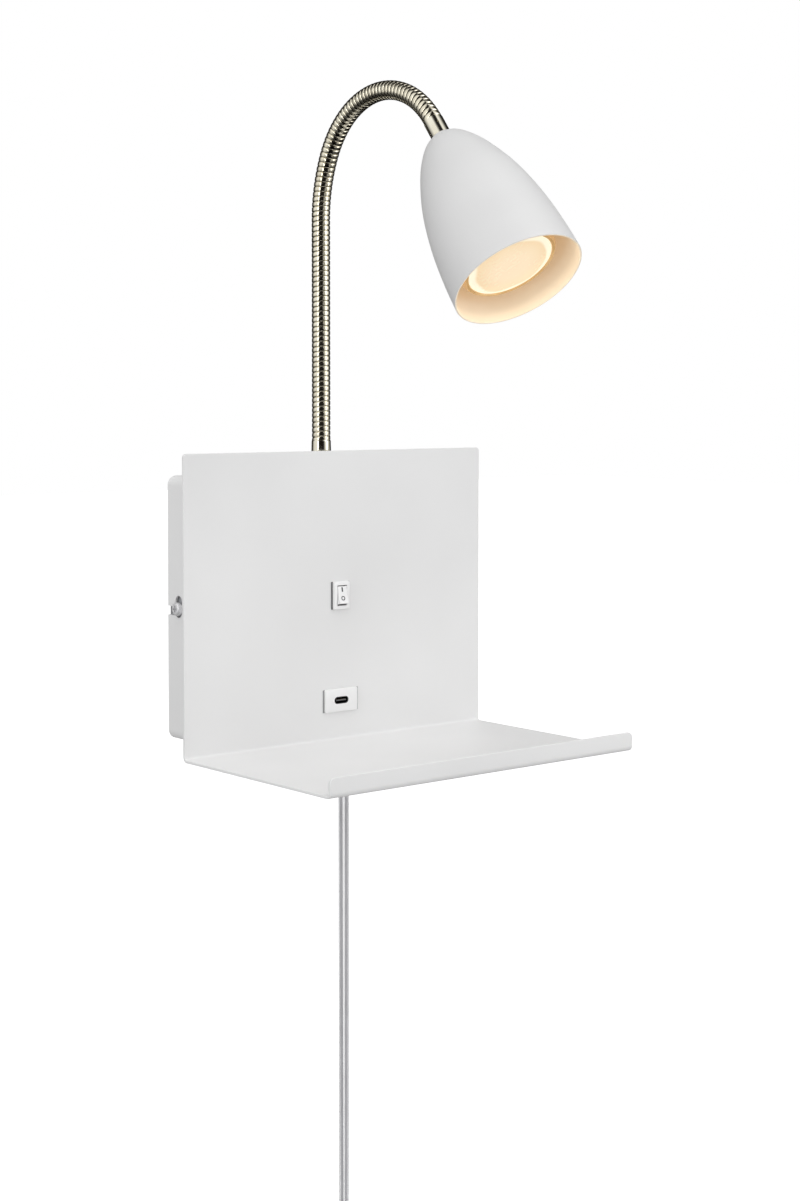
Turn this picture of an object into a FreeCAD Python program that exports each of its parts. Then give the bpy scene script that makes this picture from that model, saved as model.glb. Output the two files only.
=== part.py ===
"""Wall lamp with a folded steel shelf, a gooseneck, a twist-lock spotlight lamp and a USB-C socket.

Millimetres. The origin lies on the wall at the middle of the back box:
+X to the right, +Y into the wall, +Z up. The front of the lamp faces -Y.
"""
import FreeCAD, Part
import math
import os

V = FreeCAD.Vector

# ---------------------------------------------------------------- driving dimensions
# Back box, open at the wall
BOX_WIDTH = 178.0
BOX_HEIGHT = 137.5
BOX_DEPTH = 30.0
BOX_WALL = 1.2
BOX_CORNER_RADIUS = 5.0

# Front panel, shelf and lip, folded from one sheet
PANEL_WIDTH = 200.0
SHEET = 1.5
PANEL_ABOVE_BOX = 12.15
SHELF_BELOW_BOX = 7.15
SHELF_REACH = 120.9
LIP_HEIGHT = 10.2
BEND_RADIUS = 3.0
PANEL_CORNER_RADIUS = 2.0
LIP_CORNER_RADIUS = 3.0
STUD_RADIUS = 2.0
STUD_LENGTH = 8.0
STUD_INSET_X = 14.0
STUD_INSET_Z = 13.75
STUD_HOLE_CLEARANCE = 0.25
PANEL_NUT_FLATS = 7.0
PANEL_NUT_HEIGHT = 3.2

# Wall bracket
BRACKET_HEIGHT = 60.0
BRACKET_SHEET = 1.5
BRACKET_TAB_HEIGHT = 24.0
BRACKET_TAB_REACH = 17.0
BRACKET_SIDE_CLEARANCE = 0.3
WALL_SLOT_SPACING = 120.0
WALL_SLOT_WIDTH = 5.0
WALL_SLOT_LENGTH = 12.0
CABLE_WINDOW_RADIUS = 9.0
CABLE_WINDOW_DROP = 18.0

# Screws through the sides of the box
SIDE_SCREW_DEPTH = 10.0
SIDE_SCREW_SHANK_RADIUS = 1.95
SIDE_SCREW_LENGTH = 8.0
SIDE_SCREW_HEAD_RADIUS = 3.5
SIDE_SCREW_HEAD_HEIGHT = 2.4
SIDE_SCREW_HEAD_ROUND = 1.2
SIDE_SCREW_RECESS_SPAN = 3.8
SIDE_SCREW_RECESS_WIDTH = 0.9
SIDE_SCREW_RECESS_DEPTH = 1.4
SCREW_SEAT_GAP = 0.05
SIDE_SLOT_WIDTH = 6.0
SIDE_SLOT_HEIGHT = 11.5
SIDE_SLOT_RISE = 1.1
SIDE_CHANNEL_HEIGHT = 4.6
SIDE_CHANNEL_DROP = 1.3
THREAD_CLEARANCE = 0.05

# Rocker switch
SWITCH_RISE = 3.2
SWITCH_BEZEL_WIDTH = 10.5
SWITCH_BEZEL_HEIGHT = 15.0
SWITCH_BEZEL_PROUD = 2.0
SWITCH_BODY_WIDTH = 8.4
SWITCH_BODY_HEIGHT = 12.9
SWITCH_BODY_DEPTH = 15.0
SWITCH_WALL = 1.0
SWITCH_CORNER_RADIUS = 0.8
SWITCH_BEZEL_BEVEL = 0.48
CUTOUT_GAP = 0.2
ROCKER_GAP = 0.2
ROCKER_TILT = 12.0
ROCKER_FACE_PROUD = 3.1
ROCKER_DEPTH = 5.0
ROCKER_PIVOT_INSET = 1.2
ROCKER_PIN_RADIUS = 0.6
ROCKER_PIN_LENGTH = 0.7
ROCKER_PIN_CLEARANCE = 0.06
ROCKER_DIP_SHARE = 0.9
ROCKER_BOSS_HALF = 2.2
ROCKER_WEB = 0.3
PLUNGER_RADIUS = 0.9
PLUNGER_LENGTH = 3.6
PLUNGER_SINK = 1.0
PLUNGER_FIT = 0.05
PLUNGER_SOCKET_DEPTH = 1.9
CONTACT_TILT = 8.0
CONTACT_LENGTH = 8.0
CONTACT_WIDTH = 3.0
CONTACT_SHEET = 0.5
CONTACT_GAP = 0.4
TERMINAL_WIDTH = 2.8
TERMINAL_SHEET = 0.5
TERMINAL_LENGTH = 8.0
TERMINAL_SPACING = 7.0
TERMINAL_FOOT = 0.6
FULCRUM_THICKNESS = 0.8
FULCRUM_GAP = 0.35

# USB-C socket and its charger
USB_ABOVE_FLOOR = 15.45
USB_BEZEL_WIDTH = 21.8
USB_BEZEL_HEIGHT = 12.4
USB_BEZEL_PROUD = 1.3
USB_BODY_WIDTH = 19.0
USB_BODY_HEIGHT = 9.6
USB_BODY_DEPTH = 9.0
USB_CORNER_RADIUS = 0.8
USB_BEZEL_ROUND = 0.4
USB_SLOT_WIDTH = 8.94
USB_SLOT_HEIGHT = 3.26
USB_SHELL_WALL = 0.3
USB_SHELL_DEPTH = 7.3
USB_TONGUE_WIDTH = 6.7
USB_TONGUE_HEIGHT = 0.7
USB_SHELL_INSET = 0.3
USB_TONGUE_INSET = 0.6
CHARGER_WIDTH = 44.0
CHARGER_PAST_SOCKET = 8.0
CHARGER_HEIGHT = 22.0
CHARGER_DEPTH = 13.0
CHARGER_WALL = 1.2
BOARD_SHEET = 1.6
BOARD_GAP = 0.3
TRANSFORMER_WIDTH = 13.2
TRANSFORMER_HEIGHT = 13.2
CAPACITOR_RADIUS = 4.4
BOARD_PARTS_SPACING = 17.6

# Mains terminals, cord grip and inner wires
TERMINAL_BLOCK_X = 38.0
TERMINAL_BLOCK_ABOVE_FLOOR = 38.75
TERMINAL_BLOCK_WIDTH = 24.0
TERMINAL_BLOCK_HEIGHT = 18.0
TERMINAL_BLOCK_DEPTH = 12.0
TERMINAL_WAYS = 2
TERMINAL_BORE_RADIUS = 2.0
TERMINAL_SCREW_RADIUS = 1.6
TERMINAL_SCREW_LENGTH = 5.0
TERMINAL_SCREW_SPACING = 9.9
TERMINAL_SCREW_SLOT_WIDTH = 0.6
TERMINAL_SCREW_SLOT_DEPTH = 0.8
WIRE_RADIUS = 0.8
WIRE_PITCH = 2.2
WIRE_CRUSH_GAP = 0.2
LAMP_WIRE_RADIUS = 0.7
LAMP_WIRE_PITCH = 1.6
CORD_EXIT_X = 14.0
CORD_EXIT_DEPTH = 16.5
GRIP_COLLAR_RADIUS = 6.5
GRIP_COLLAR_HEIGHT = 2.0
GRIP_NECK_RADIUS = 5.0
GRIP_TAIL_LENGTH = 30.0
GRIP_TAIL_END_RADIUS = 3.8
GRIP_FIT = 0.1

# Gooseneck
NECK_DEPTH = 15.0
HOSE_RADIUS = 5.0
HOSE_BORE_RADIUS = 2.1
HOSE_CABLE_RADIUS = 1.7
FERRULE_BASE_RADIUS = 5.55
FERRULE_TOP_RADIUS = 5.1
FERRULE_HEIGHT = 17.65
FERRULE_SPIGOT_RADIUS = 3.4
FERRULE_SPIGOT_LENGTH = 8.0
SPIGOT_FIT = 0.05
NECK_THREAD_RADIUS = 4.0
NECK_THREAD_LENGTH = 8.0
NECK_HOLE_CLEARANCE = 0.2
NECK_WASHER_RADIUS = 8.0
NECK_WASHER_HEIGHT = 1.2
NECK_NUT_FLATS = 12.0
NECK_NUT_HEIGHT = 3.5
HOSE_STRAIGHT = 118.9
WIDE_BEND_RADIUS = 80.0
WIDE_BEND_TURN = 25.0
TIGHT_BEND_RADIUS = 50.5
HEAD_TILT = 52.6
FIRST_PIVOT = 14.0
END_LINK_LENGTH = 11.46
PIVOTS = 8
PIVOT_BEND = 28.0
BALL_RADIUS = 3.6
BALL_CLEARANCE = 0.08
BALL_NECK_RADIUS = 3.0
BALL_NECK_SINK = 1.0
SHOULDER_CLEARANCE = 0.35
CABLE_END_GAP = 0.15
CABLE_BELOW_NECK = 2.0
END_SPIGOT_SHORT = 1.5

# Shade and what hangs it on the hose
END_FERRULE_RADIUS = 5.15
END_FERRULE_LENGTH = 11.3
END_FERRULE_HOLE_RADIUS = 0.5
END_FERRULE_HOLE_PLACE = 4.7
END_FERRULE_HOLE_TURN = 119.0
END_FERRULE_HOLE_DEPTH = 1.0
END_THREAD_PAST_NUT = 1.0
SHADE_LENGTH = 92.7
SHADE_WALL = 0.9
SHADE_NOSE_RADIUS = 6.0
SHADE_RIM_RADIUS = 33.5
SHADE_THREAD_RADIUS = 4.5
SHADE_HOLE_CLEARANCE = 0.15
SPACER_RADIUS = 5.6
SPACER_LENGTH = 4.0
HOLDER_PLATE_RADIUS = 8.6
HOLDER_SHEET = 1.2
SHADE_NUT_FLATS = 12.0
SHADE_NUT_HEIGHT = 3.5
SHADE_NUT_TURN = 30.0
HOLDER_LEG_WIDTH = 8.0
HOLDER_LEG_LENGTH = 9.0
HOLDER_FIXING_SPACING = 20.4
HOLDER_FOOT_EDGE = 2.4

# Lamp holder and lamp
HOLDER_FIXING_EDGE = 2.8
HOLDER_LENGTH = 15.0
HOLDER_SCREW_RADIUS = 1.45
HOLDER_SCREW_HEAD_RADIUS = 2.3
HOLDER_SCREW_HEAD_HEIGHT = 1.6
HOLDER_SCREW_SINK = 0.6
HOLDER_SCREW_WELL_GAP = 0.2
HOLDER_SCREW_SLOT = 0.7
HOLDER_SCREW_PAST_FOOT = 0.5
CONTACT_WELL_DEPTH = 2.0
CONTACT_PASSAGE_RADIUS = 1.3
CONTACT_STEM_RADIUS = 1.0
CONTACT_LEAF_SHEET = 0.5
PIN_SPACING = 10.0
PIN_RADIUS = 1.5
PIN_HEAD_RADIUS = 2.35
PIN_HEAD_LENGTH = 2.2
PIN_LENGTH = 6.5
PIN_SLOT_CLEARANCE = 0.35
LAMP_TWIST = 20.0
CONTACT_LEAF_GAP = 0.3
LAMP_SEAT_GAP = 0.3
LAMP_BASE_RADIUS = 13.0
LAMP_BASE_LENGTH = 14.0
LAMP_RIM_RADIUS = 25.0
LAMP_RIM_LENGTH = 5.0
LAMP_LENGTH = 53.0
LAMP_STEP = 1.2
LENS_RADIUS = 22.0
LENS_CROWN = 1.6
LENS_EDGE = 1.4
LAMP_WALL = 1.2
LAMP_BASE_ROUND = 0.8
PIN_SINK = 3.0
LENS_FIT = 0.05
LENS_SEAT_GAP = 0.02
LENS_SET_BACK = 0.2

# Mains cord and plug
CORD_RADIUS = 3.0
COIL_INNER_RADIUS = 30.0
COIL_PITCH = 6.2
COIL_OUTER_LANES = 3
COIL_INNER_LANES = 5
COIL_BELOW_BOX = 319.25
COIL_EDGE_ROUND = 2.1
CORD_TAIL_DROP = 62.0
TIE_WIDTH = 5.0
TIE_THICKNESS = 0.8
TIE_SLACK = 0.3
TIE_CORNER_RADIUS = 2.0
PLUG_WIDTH = 35.3
PLUG_THICKNESS = 13.7
PLUG_LENGTH = 30.0
PLUG_NECK_WIDTH = 12.0
PLUG_RELIEF_LENGTH = 14.0
PLUG_RELIEF_RADIUS = 4.2
PLUG_RELIEF_FOOT_RADIUS = 5.2
PLUG_EDGE_ROUND = 2.2
PLUG_TAPER_LENGTH = 13.5
PLUG_PIN_SPACING = 18.6
PLUG_PIN_RADIUS = 2.0
PLUG_PIN_LENGTH = 19.0
PLUG_SLEEVE_LENGTH = 10.0
PLUG_SLEEVE_WALL = 0.4
PLUG_PIN_SINK = 8.0
PLUG_PIN_TIP_ROUND = 0.9

# ---------------------------------------------------------------- derived places
PANEL_FRONT = -BOX_DEPTH - SHEET
BOX_FRONT_INSIDE = -BOX_DEPTH + BOX_WALL
BOX_TOP = BOX_HEIGHT / 2
BOX_FLOOR = -BOX_HEIGHT / 2
PANEL_TOP = BOX_TOP + PANEL_ABOVE_BOX
SHELF_UNDERSIDE = BOX_FLOOR - SHELF_BELOW_BOX
USB_DROP = BOX_FLOOR + USB_ABOVE_FLOOR
CHARGER_SHIFT = CHARGER_PAST_SOCKET - CHARGER_WIDTH / 2
TERMINAL_BLOCK_Z = BOX_FLOOR + TERMINAL_BLOCK_ABOVE_FLOOR
SWITCH_PIVOT_Y = PANEL_FRONT - ROCKER_PIVOT_INSET
CONTACT_PIVOT_Y = SWITCH_PIVOT_Y + ROCKER_DEPTH / 2 + PLUNGER_LENGTH + CONTACT_GAP + CONTACT_SHEET
HOSE_START = BOX_TOP + FERRULE_HEIGHT
BEND_START = HOSE_START + HOSE_STRAIGHT
HOLDER_FOOT_RADIUS = HOLDER_FIXING_SPACING / 2 + HOLDER_FOOT_EDGE
HOLDER_RADIUS = HOLDER_FIXING_SPACING / 2 + HOLDER_FIXING_EDGE
COIL_OUTER_RADIUS = COIL_INNER_RADIUS + COIL_PITCH
COIL_CENTRE_X = CORD_EXIT_X - COIL_OUTER_RADIUS
COIL_CENTRE_Z = BOX_FLOOR - COIL_BELOW_BOX
CORD_TAIL_END_Z = COIL_CENTRE_Z - CORD_TAIL_DROP
COIL_REAR_LANE_Y = -CORD_EXIT_DEPTH + COIL_PITCH * (COIL_OUTER_LANES - 1)
COIL_FRONT_LANE_Y = COIL_REAR_LANE_Y - COIL_PITCH * (COIL_INNER_LANES - 1)
PLUG_X = COIL_CENTRE_X + COIL_INNER_RADIUS


# ---------------------------------------------------------------- shape helpers
def block(x, y, z):
    """Box between the two values given for each axis."""
    return Part.makeBox(x[1] - x[0], y[1] - y[0], z[1] - z[0], V(x[0], y[0], z[0]))


def rod(radius, length, foot, direction):
    """Cylinder from its foot point along a direction."""
    return Part.makeCylinder(radius, length, foot, direction)


def tube(outer, inner, length, foot, direction):
    """Cylinder with a bore."""
    return rod(outer, length, foot, direction).cut(rod(inner, length, foot, direction))


def hexagon(flats, height, foot, direction, turn=0.0):
    """Hexagonal prism, flats apart, standing on foot along direction."""
    corner = flats / math.sqrt(3)
    points = []
    for side in range(7):
        angle = math.radians(60 * side + turn)
        points.append(V(corner * math.cos(angle), corner * math.sin(angle), 0))
    prism = Part.Face(Part.makePolygon(points)).extrude(V(0, 0, height))
    prism.Placement = FreeCAD.Placement(foot, FreeCAD.Rotation(V(0, 0, 1), direction))
    return prism


def nut(flats, bore, height, foot, direction, turn=0.0):
    """Hexagonal nut with a plain bore for its thread."""
    return hexagon(flats, height, foot, direction, turn).cut(rod(bore, height, foot, direction))


def rounded_block(x, y, z, radius):
    """Box whose four edges along Y are rounded."""
    solid = block(x, y, z)
    edges = [e for e in solid.Edges if abs(e.tangentAt(e.FirstParameter).y) > 0.9]
    return solid.makeFillet(radius, edges)


def centred(size, middle=0.0):
    """Pair of values half a size either side of a middle."""
    return (middle - size / 2, middle + size / 2)


def export(name, solids):
    """Write one sub-part, as one solid or as several separate ones."""
    solids = solids if isinstance(solids, list) else [solids]
    bodies = [solid for shape in solids for solid in shape.Solids]
    shape = bodies[0] if len(bodies) == 1 else Part.makeCompound(bodies)
    shape.exportStep("parts/" + name + ".step")


# ---------------------------------------------------------------- hose path
def arc_centres():
    """Middles of the wide and the tight arc of the hose."""
    wide = V(0, -NECK_DEPTH - WIDE_BEND_RADIUS, BEND_START)
    turn = math.radians(WIDE_BEND_TURN)
    shift = WIDE_BEND_RADIUS - TIGHT_BEND_RADIUS
    return wide, wide + V(0, math.cos(turn), math.sin(turn)) * shift


WIDE_CENTRE, TIGHT_CENTRE = arc_centres()
WIDE_RUN = WIDE_BEND_RADIUS * math.radians(WIDE_BEND_TURN)
# The hose turns from straight up, over the top, to HEAD_TILT below the horizontal
TOTAL_TURN = 90.0 + HEAD_TILT
TIGHT_RUN = TIGHT_BEND_RADIUS * math.radians(TOTAL_TURN - WIDE_BEND_TURN)
HOSE_LENGTH = HOSE_STRAIGHT + WIDE_RUN + TIGHT_RUN
LAST_PIVOT = HOSE_LENGTH - END_LINK_LENGTH


def turn_at(length):
    """Turn of the hose from upright, in radians, at a length from its foot."""
    if length <= HOSE_STRAIGHT:
        return 0.0
    if length <= HOSE_STRAIGHT + WIDE_RUN:
        return (length - HOSE_STRAIGHT) / WIDE_BEND_RADIUS
    return math.radians(WIDE_BEND_TURN) + (length - HOSE_STRAIGHT - WIDE_RUN) / TIGHT_BEND_RADIUS


def hose_point(length):
    """Point on the middle line of the hose."""
    turn = turn_at(length)
    if length <= HOSE_STRAIGHT:
        return V(0, -NECK_DEPTH, HOSE_START + length)
    outward = V(0, math.cos(turn), math.sin(turn))
    if length <= HOSE_STRAIGHT + WIDE_RUN:
        return WIDE_CENTRE + outward * WIDE_BEND_RADIUS
    return TIGHT_CENTRE + outward * TIGHT_BEND_RADIUS


def hose_direction(length):
    """Direction of the hose, towards the shade."""
    turn = turn_at(length)
    return V(0, -math.sin(turn), math.cos(turn))


def pivot_length(number):
    """Length along the hose of a pivot, counted from 1."""
    return FIRST_PIVOT + (LAST_PIVOT - FIRST_PIVOT) * (number - 1) / (PIVOTS - 1)


def along_hose(radius, start, end):
    """Round bar that follows the hose between two lengths, run by run."""
    joins = [at for at in (HOSE_STRAIGHT, HOSE_STRAIGHT + WIDE_RUN) if start + 0.01 < at < end - 0.01]
    edges = []
    stops = [start] + joins + [end]
    for first, last in zip(stops[:-1], stops[1:]):
        a, b = hose_point(first), hose_point(last)
        if last <= HOSE_STRAIGHT + 0.001:
            edges.append(Part.LineSegment(a, b).toShape())
        else:
            edges.append(Part.Arc(a, hose_point((first + last) / 2), b).toShape())
    section = Part.Wire([Part.Circle(hose_point(start), hose_direction(start), radius).toShape()])
    return Part.Wire(edges).makePipeShell([section], True, True)


def ball(radius, length):
    """Sphere on the hose's middle line, with its poles along the hose."""
    turned = FreeCAD.Rotation(V(0, 0, 1), hose_direction(length))
    sphere = Part.makeSphere(radius)
    sphere.Placement = FreeCAD.Placement(hose_point(length), turned)
    return sphere


# A link's collar stops this far before its pivot, so that the next link clears it at full bend
SHOULDER = HOSE_RADIUS * math.sin(math.radians(PIVOT_BEND)) + SHOULDER_CLEARANCE
# The last spigot stops short of the last pivot's cup
END_SPIGOT_LENGTH = END_LINK_LENGTH - BALL_RADIUS - END_SPIGOT_SHORT
CABLE_BELOW_HOSE = FERRULE_HEIGHT + NECK_THREAD_LENGTH + CABLE_BELOW_NECK
CABLE_PAST_HOSE = END_FERRULE_LENGTH + SHADE_WALL + SPACER_LENGTH + HOLDER_SHEET + SHADE_NUT_HEIGHT


def hose_link(number):
    """One link of the hose: a cup on the pivot before it, a ball on the pivot after it, and a bore."""
    first, last = number == 0, number == PIVOTS
    start = 0.0 if first else pivot_length(number)
    end = HOSE_LENGTH if last else pivot_length(number + 1)
    body = along_hose(HOSE_RADIUS, start, end if last else end - SHOULDER)
    if not last:
        body = body.fuse(along_hose(BALL_NECK_RADIUS, end - SHOULDER - BALL_NECK_SINK, end))
        body = body.fuse(ball(BALL_RADIUS, end))
    body = body.cut(along_hose(HOSE_BORE_RADIUS, start, end))
    spigot = FERRULE_SPIGOT_RADIUS + SPIGOT_FIT
    if last:
        inwards = hose_direction(end) * -1
        body = body.cut(rod(spigot, END_SPIGOT_LENGTH, hose_point(end), inwards))
    else:
        body = body.cut(rod(HOSE_BORE_RADIUS, 2 * BALL_RADIUS, hose_point(end), hose_direction(end)))
    if first:
        return body.cut(rod(spigot, FERRULE_SPIGOT_LENGTH, hose_point(start), hose_direction(start)))
    return body.cut(ball(BALL_RADIUS + BALL_CLEARANCE, start))


def hose_cable(number):
    """Stretch of the two-core cable inside one link, clear of the balls at both ends."""
    first, last = number == 0, number == PIVOTS
    ball_end = math.sqrt(BALL_RADIUS ** 2 - HOSE_BORE_RADIUS ** 2)
    start = -CABLE_BELOW_HOSE if first else pivot_length(number) + BALL_RADIUS + CABLE_END_GAP
    end = HOSE_LENGTH if last else pivot_length(number + 1) + ball_end - CABLE_END_GAP
    if first:
        low = V(0, -NECK_DEPTH, HOSE_START - CABLE_BELOW_HOSE)
        return rod(HOSE_CABLE_RADIUS, end + CABLE_BELOW_HOSE, low, V(0, 0, 1))
    straight_end = rod(HOSE_CABLE_RADIUS, CABLE_PAST_HOSE, hose_point(end), hose_direction(end))
    run = along_hose(HOSE_CABLE_RADIUS, start, end)
    return run.fuse(straight_end) if last else run


# ---------------------------------------------------------------- root: box, panel, bracket
def back_box():
    """Tray with its front behind the panel, holes for what it carries and a keyed slot each side."""
    half_x, half_z = BOX_WIDTH / 2, BOX_HEIGHT / 2
    outer = rounded_block((-half_x, half_x), (-BOX_DEPTH, 0), (-half_z, half_z), BOX_CORNER_RADIUS)
    inner = rounded_block(
        (-half_x + BOX_WALL, half_x - BOX_WALL),
        (-BOX_DEPTH + BOX_WALL, 1),
        (-half_z + BOX_WALL, half_z - BOX_WALL),
        BOX_CORNER_RADIUS - BOX_WALL,
    )
    box = outer.cut(inner)
    through_front = (-BOX_DEPTH - 1, -BOX_DEPTH + BOX_WALL + 1)
    box = box.cut(block(centred(SWITCH_BODY_WIDTH + 2 * CUTOUT_GAP), through_front,
                        centred(SWITCH_BODY_HEIGHT + 2 * CUTOUT_GAP, SWITCH_RISE)))
    box = box.cut(block(centred(USB_BODY_WIDTH + 2 * CUTOUT_GAP), through_front,
                        centred(USB_BODY_HEIGHT + 2 * CUTOUT_GAP, USB_DROP)))
    for x, z in stud_places():
        hole = STUD_RADIUS + STUD_HOLE_CLEARANCE
        box = box.cut(rod(hole, 3 * BOX_WALL, V(x, -BOX_DEPTH - BOX_WALL, z), V(0, 1, 0)))
    neck_hole = NECK_THREAD_RADIUS + NECK_HOLE_CLEARANCE
    box = box.cut(rod(neck_hole, 3 * BOX_WALL, V(0, -NECK_DEPTH, BOX_TOP - 2 * BOX_WALL), V(0, 0, 1)))
    cord_hole = GRIP_NECK_RADIUS + GRIP_FIT
    cord_foot = V(CORD_EXIT_X, -CORD_EXIT_DEPTH, BOX_FLOOR - BOX_WALL)
    box = box.cut(rod(cord_hole, 3 * BOX_WALL, cord_foot, V(0, 0, 1)))
    for side in (-1, 1):
        box = box.cut(side_slot(side))
    return box


def side_slot(side):
    """Upright slot with round ends, and the channel that leads to it from the wall edge."""
    x = sorted((side * (BOX_WIDTH / 2 - 2 * BOX_WALL), side * (BOX_WIDTH / 2 + BOX_WALL)))
    straight = SIDE_SLOT_HEIGHT - SIDE_SLOT_WIDTH
    slot = block(x, centred(SIDE_SLOT_WIDTH, -SIDE_SCREW_DEPTH), centred(straight, SIDE_SLOT_RISE))
    for end in (-1, 1):
        foot = V(x[0], -SIDE_SCREW_DEPTH, SIDE_SLOT_RISE + end * straight / 2)
        slot = slot.fuse(rod(SIDE_SLOT_WIDTH / 2, x[1] - x[0], foot, V(1, 0, 0)))
    channel = block(x, (-SIDE_SCREW_DEPTH, 1), centred(SIDE_CHANNEL_HEIGHT, -SIDE_CHANNEL_DROP))
    return slot.fuse(channel)


def stud_places():
    """Places of the four weld studs behind the panel."""
    across, upright = BOX_WIDTH - 2 * STUD_INSET_X, BOX_HEIGHT - 2 * STUD_INSET_Z
    return [(x, z) for x in centred(across) for z in centred(upright)]


def shelf_panel():
    """Sheet folded into the upright panel, the shelf and the lip, with weld studs behind."""
    back, top = -BOX_DEPTH, PANEL_TOP
    front = back - SHEET
    lip_out = front - SHELF_REACH
    lip_in = lip_out + SHEET
    under, over = SHELF_UNDERSIDE, SHELF_UNDERSIDE + SHEET
    lip_top = SHELF_UNDERSIDE + LIP_HEIGHT
    outer_r, inner_r = BEND_RADIUS, BEND_RADIUS - SHEET
    mid = math.sqrt(0.5)
    rear_c = V(0, back - outer_r, under + outer_r)
    lip_c = V(0, lip_out + outer_r, under + outer_r)

    def line(a, b):
        return Part.LineSegment(V(0, *a), V(0, *b)).toShape()

    def arc(centre, radius, way):
        start = centre + V(0, way * radius, 0)
        half = centre + V(0, way * radius * mid, -radius * mid)
        end = centre + V(0, 0, -radius)
        return Part.Arc(start, half, end).toShape()

    edges = [
        line((back, top), (back, rear_c.z)),
        arc(rear_c, outer_r, 1),
        line((rear_c.y, under), (lip_c.y, under)),
        arc(lip_c, outer_r, -1),
        line((lip_out, lip_c.z), (lip_out, lip_top)),
        line((lip_out, lip_top), (lip_in, lip_top)),
        line((lip_in, lip_top), (lip_in, lip_c.z)),
        arc(lip_c, inner_r, -1),
        line((lip_c.y, over), (rear_c.y, over)),
        arc(rear_c, inner_r, 1),
        line((front, rear_c.z), (front, top)),
        line((front, top), (back, top)),
    ]
    profile = Part.Face(Part.Wire(Part.__sortEdges__(edges)))
    panel = profile.extrude(V(PANEL_WIDTH, 0, 0))
    panel.translate(V(-PANEL_WIDTH / 2, 0, 0))
    panel = round_corners(panel, top, PANEL_CORNER_RADIUS, back)
    panel = round_corners(panel, lip_top, LIP_CORNER_RADIUS, lip_in)
    through = (PANEL_FRONT - 1, back + 1)
    panel = panel.cut(block(centred(SWITCH_BODY_WIDTH + 2 * CUTOUT_GAP), through,
                            centred(SWITCH_BODY_HEIGHT + 2 * CUTOUT_GAP, SWITCH_RISE)))
    panel = panel.cut(block(centred(USB_BODY_WIDTH + 2 * CUTOUT_GAP), through,
                            centred(USB_BODY_HEIGHT + 2 * CUTOUT_GAP, USB_DROP)))
    for x, z in stud_places():
        panel = panel.fuse(rod(STUD_RADIUS, STUD_LENGTH, V(x, back, z), V(0, 1, 0)))
    return panel


def round_corners(panel, height, radius, depth):
    """Round the two sheet corners at one height, where the sheet stands at one depth."""
    edges = []
    for edge in panel.Edges:
        middle = edge.CenterOfMass
        at_side = abs(abs(middle.x) - PANEL_WIDTH / 2) < 0.01
        at_height = abs(middle.z - height) < 0.01
        along_y = abs(edge.tangentAt(edge.FirstParameter).y) > 0.9
        if at_side and at_height and along_y and abs(middle.y - depth) < SHEET:
            edges.append(edge)
    return panel.makeFillet(radius, edges)


def panel_nuts():
    """Nuts on the weld studs, inside the box."""
    bore = STUD_RADIUS + THREAD_CLEARANCE
    nuts = []
    for x, z in stud_places():
        foot = V(x, BOX_FRONT_INSIDE, z)
        nuts.append(nut(PANEL_NUT_FLATS, bore, PANEL_NUT_HEIGHT, foot, V(0, 1, 0)))
    return nuts


def tab_outside():
    """Outer face of a bracket tab, as a distance from the middle."""
    return BOX_WIDTH / 2 - BOX_WALL - BRACKET_SIDE_CLEARANCE


def wall_bracket():
    """Plate on the wall with a tab bent forward at each end for the side screws."""
    half = tab_outside()
    plate = block((-half, half), (-BRACKET_SHEET, 0), centred(BRACKET_HEIGHT))
    for side in (-1, 1):
        x = sorted((side * half, side * (half - BRACKET_SHEET)))
        tab = block(x, (-BRACKET_TAB_REACH, 0), centred(BRACKET_TAB_HEIGHT))
        tapped = rod(SIDE_SCREW_SHANK_RADIUS + THREAD_CLEARANCE, 2 * half, V(-half, -SIDE_SCREW_DEPTH, 0),
                     V(1, 0, 0))
        plate = plate.fuse(tab.cut(tapped))
        x = side * WALL_SLOT_SPACING / 2
        plate = plate.cut(wall_slot(x))
    window = V(0, -2 * BRACKET_SHEET, -CABLE_WINDOW_DROP)
    return plate.cut(rod(CABLE_WINDOW_RADIUS, 3 * BRACKET_SHEET, window, V(0, 1, 0)))


def wall_slot(x):
    """Level slot for a wall screw."""
    straight = WALL_SLOT_LENGTH - WALL_SLOT_WIDTH
    depth = (-2 * BRACKET_SHEET, BRACKET_SHEET)
    slot = block(centred(straight, x), depth, centred(WALL_SLOT_WIDTH))
    for end in (-1, 1):
        foot = V(x + end * straight / 2, depth[0], 0)
        slot = slot.fuse(rod(WALL_SLOT_WIDTH / 2, 3 * BRACKET_SHEET, foot, V(0, 1, 0)))
    return slot


def side_screws():
    """Pan-head screws with a cross recess, one each side, into the bracket tabs."""
    screws = []
    for side in (-1, 1):
        seat = V(side * (BOX_WIDTH / 2 + SCREW_SEAT_GAP), -SIDE_SCREW_DEPTH, 0)
        out = V(side, 0, 0)
        head = rod(SIDE_SCREW_HEAD_RADIUS, SIDE_SCREW_HEAD_HEIGHT, seat, out)
        rim = [e for e in head.Edges if abs(e.CenterOfMass.x) > abs(seat.x) + SIDE_SCREW_HEAD_ROUND
               and isinstance(e.Curve, Part.Circle)]
        head = head.makeFillet(SIDE_SCREW_HEAD_ROUND, rim)
        shank = rod(SIDE_SCREW_SHANK_RADIUS, SIDE_SCREW_LENGTH, seat, out * -1)
        screw = head.fuse(shank)
        face = seat.x + side * SIDE_SCREW_HEAD_HEIGHT
        depth = sorted((face, face - side * SIDE_SCREW_RECESS_DEPTH))
        span, width = SIDE_SCREW_RECESS_SPAN, SIDE_SCREW_RECESS_WIDTH
        screw = screw.cut(block(depth, centred(span, -SIDE_SCREW_DEPTH), centred(width)))
        screw = screw.cut(block(depth, centred(width, -SIDE_SCREW_DEPTH), centred(span)))
        screws.append(screw)
    return screws


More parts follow.
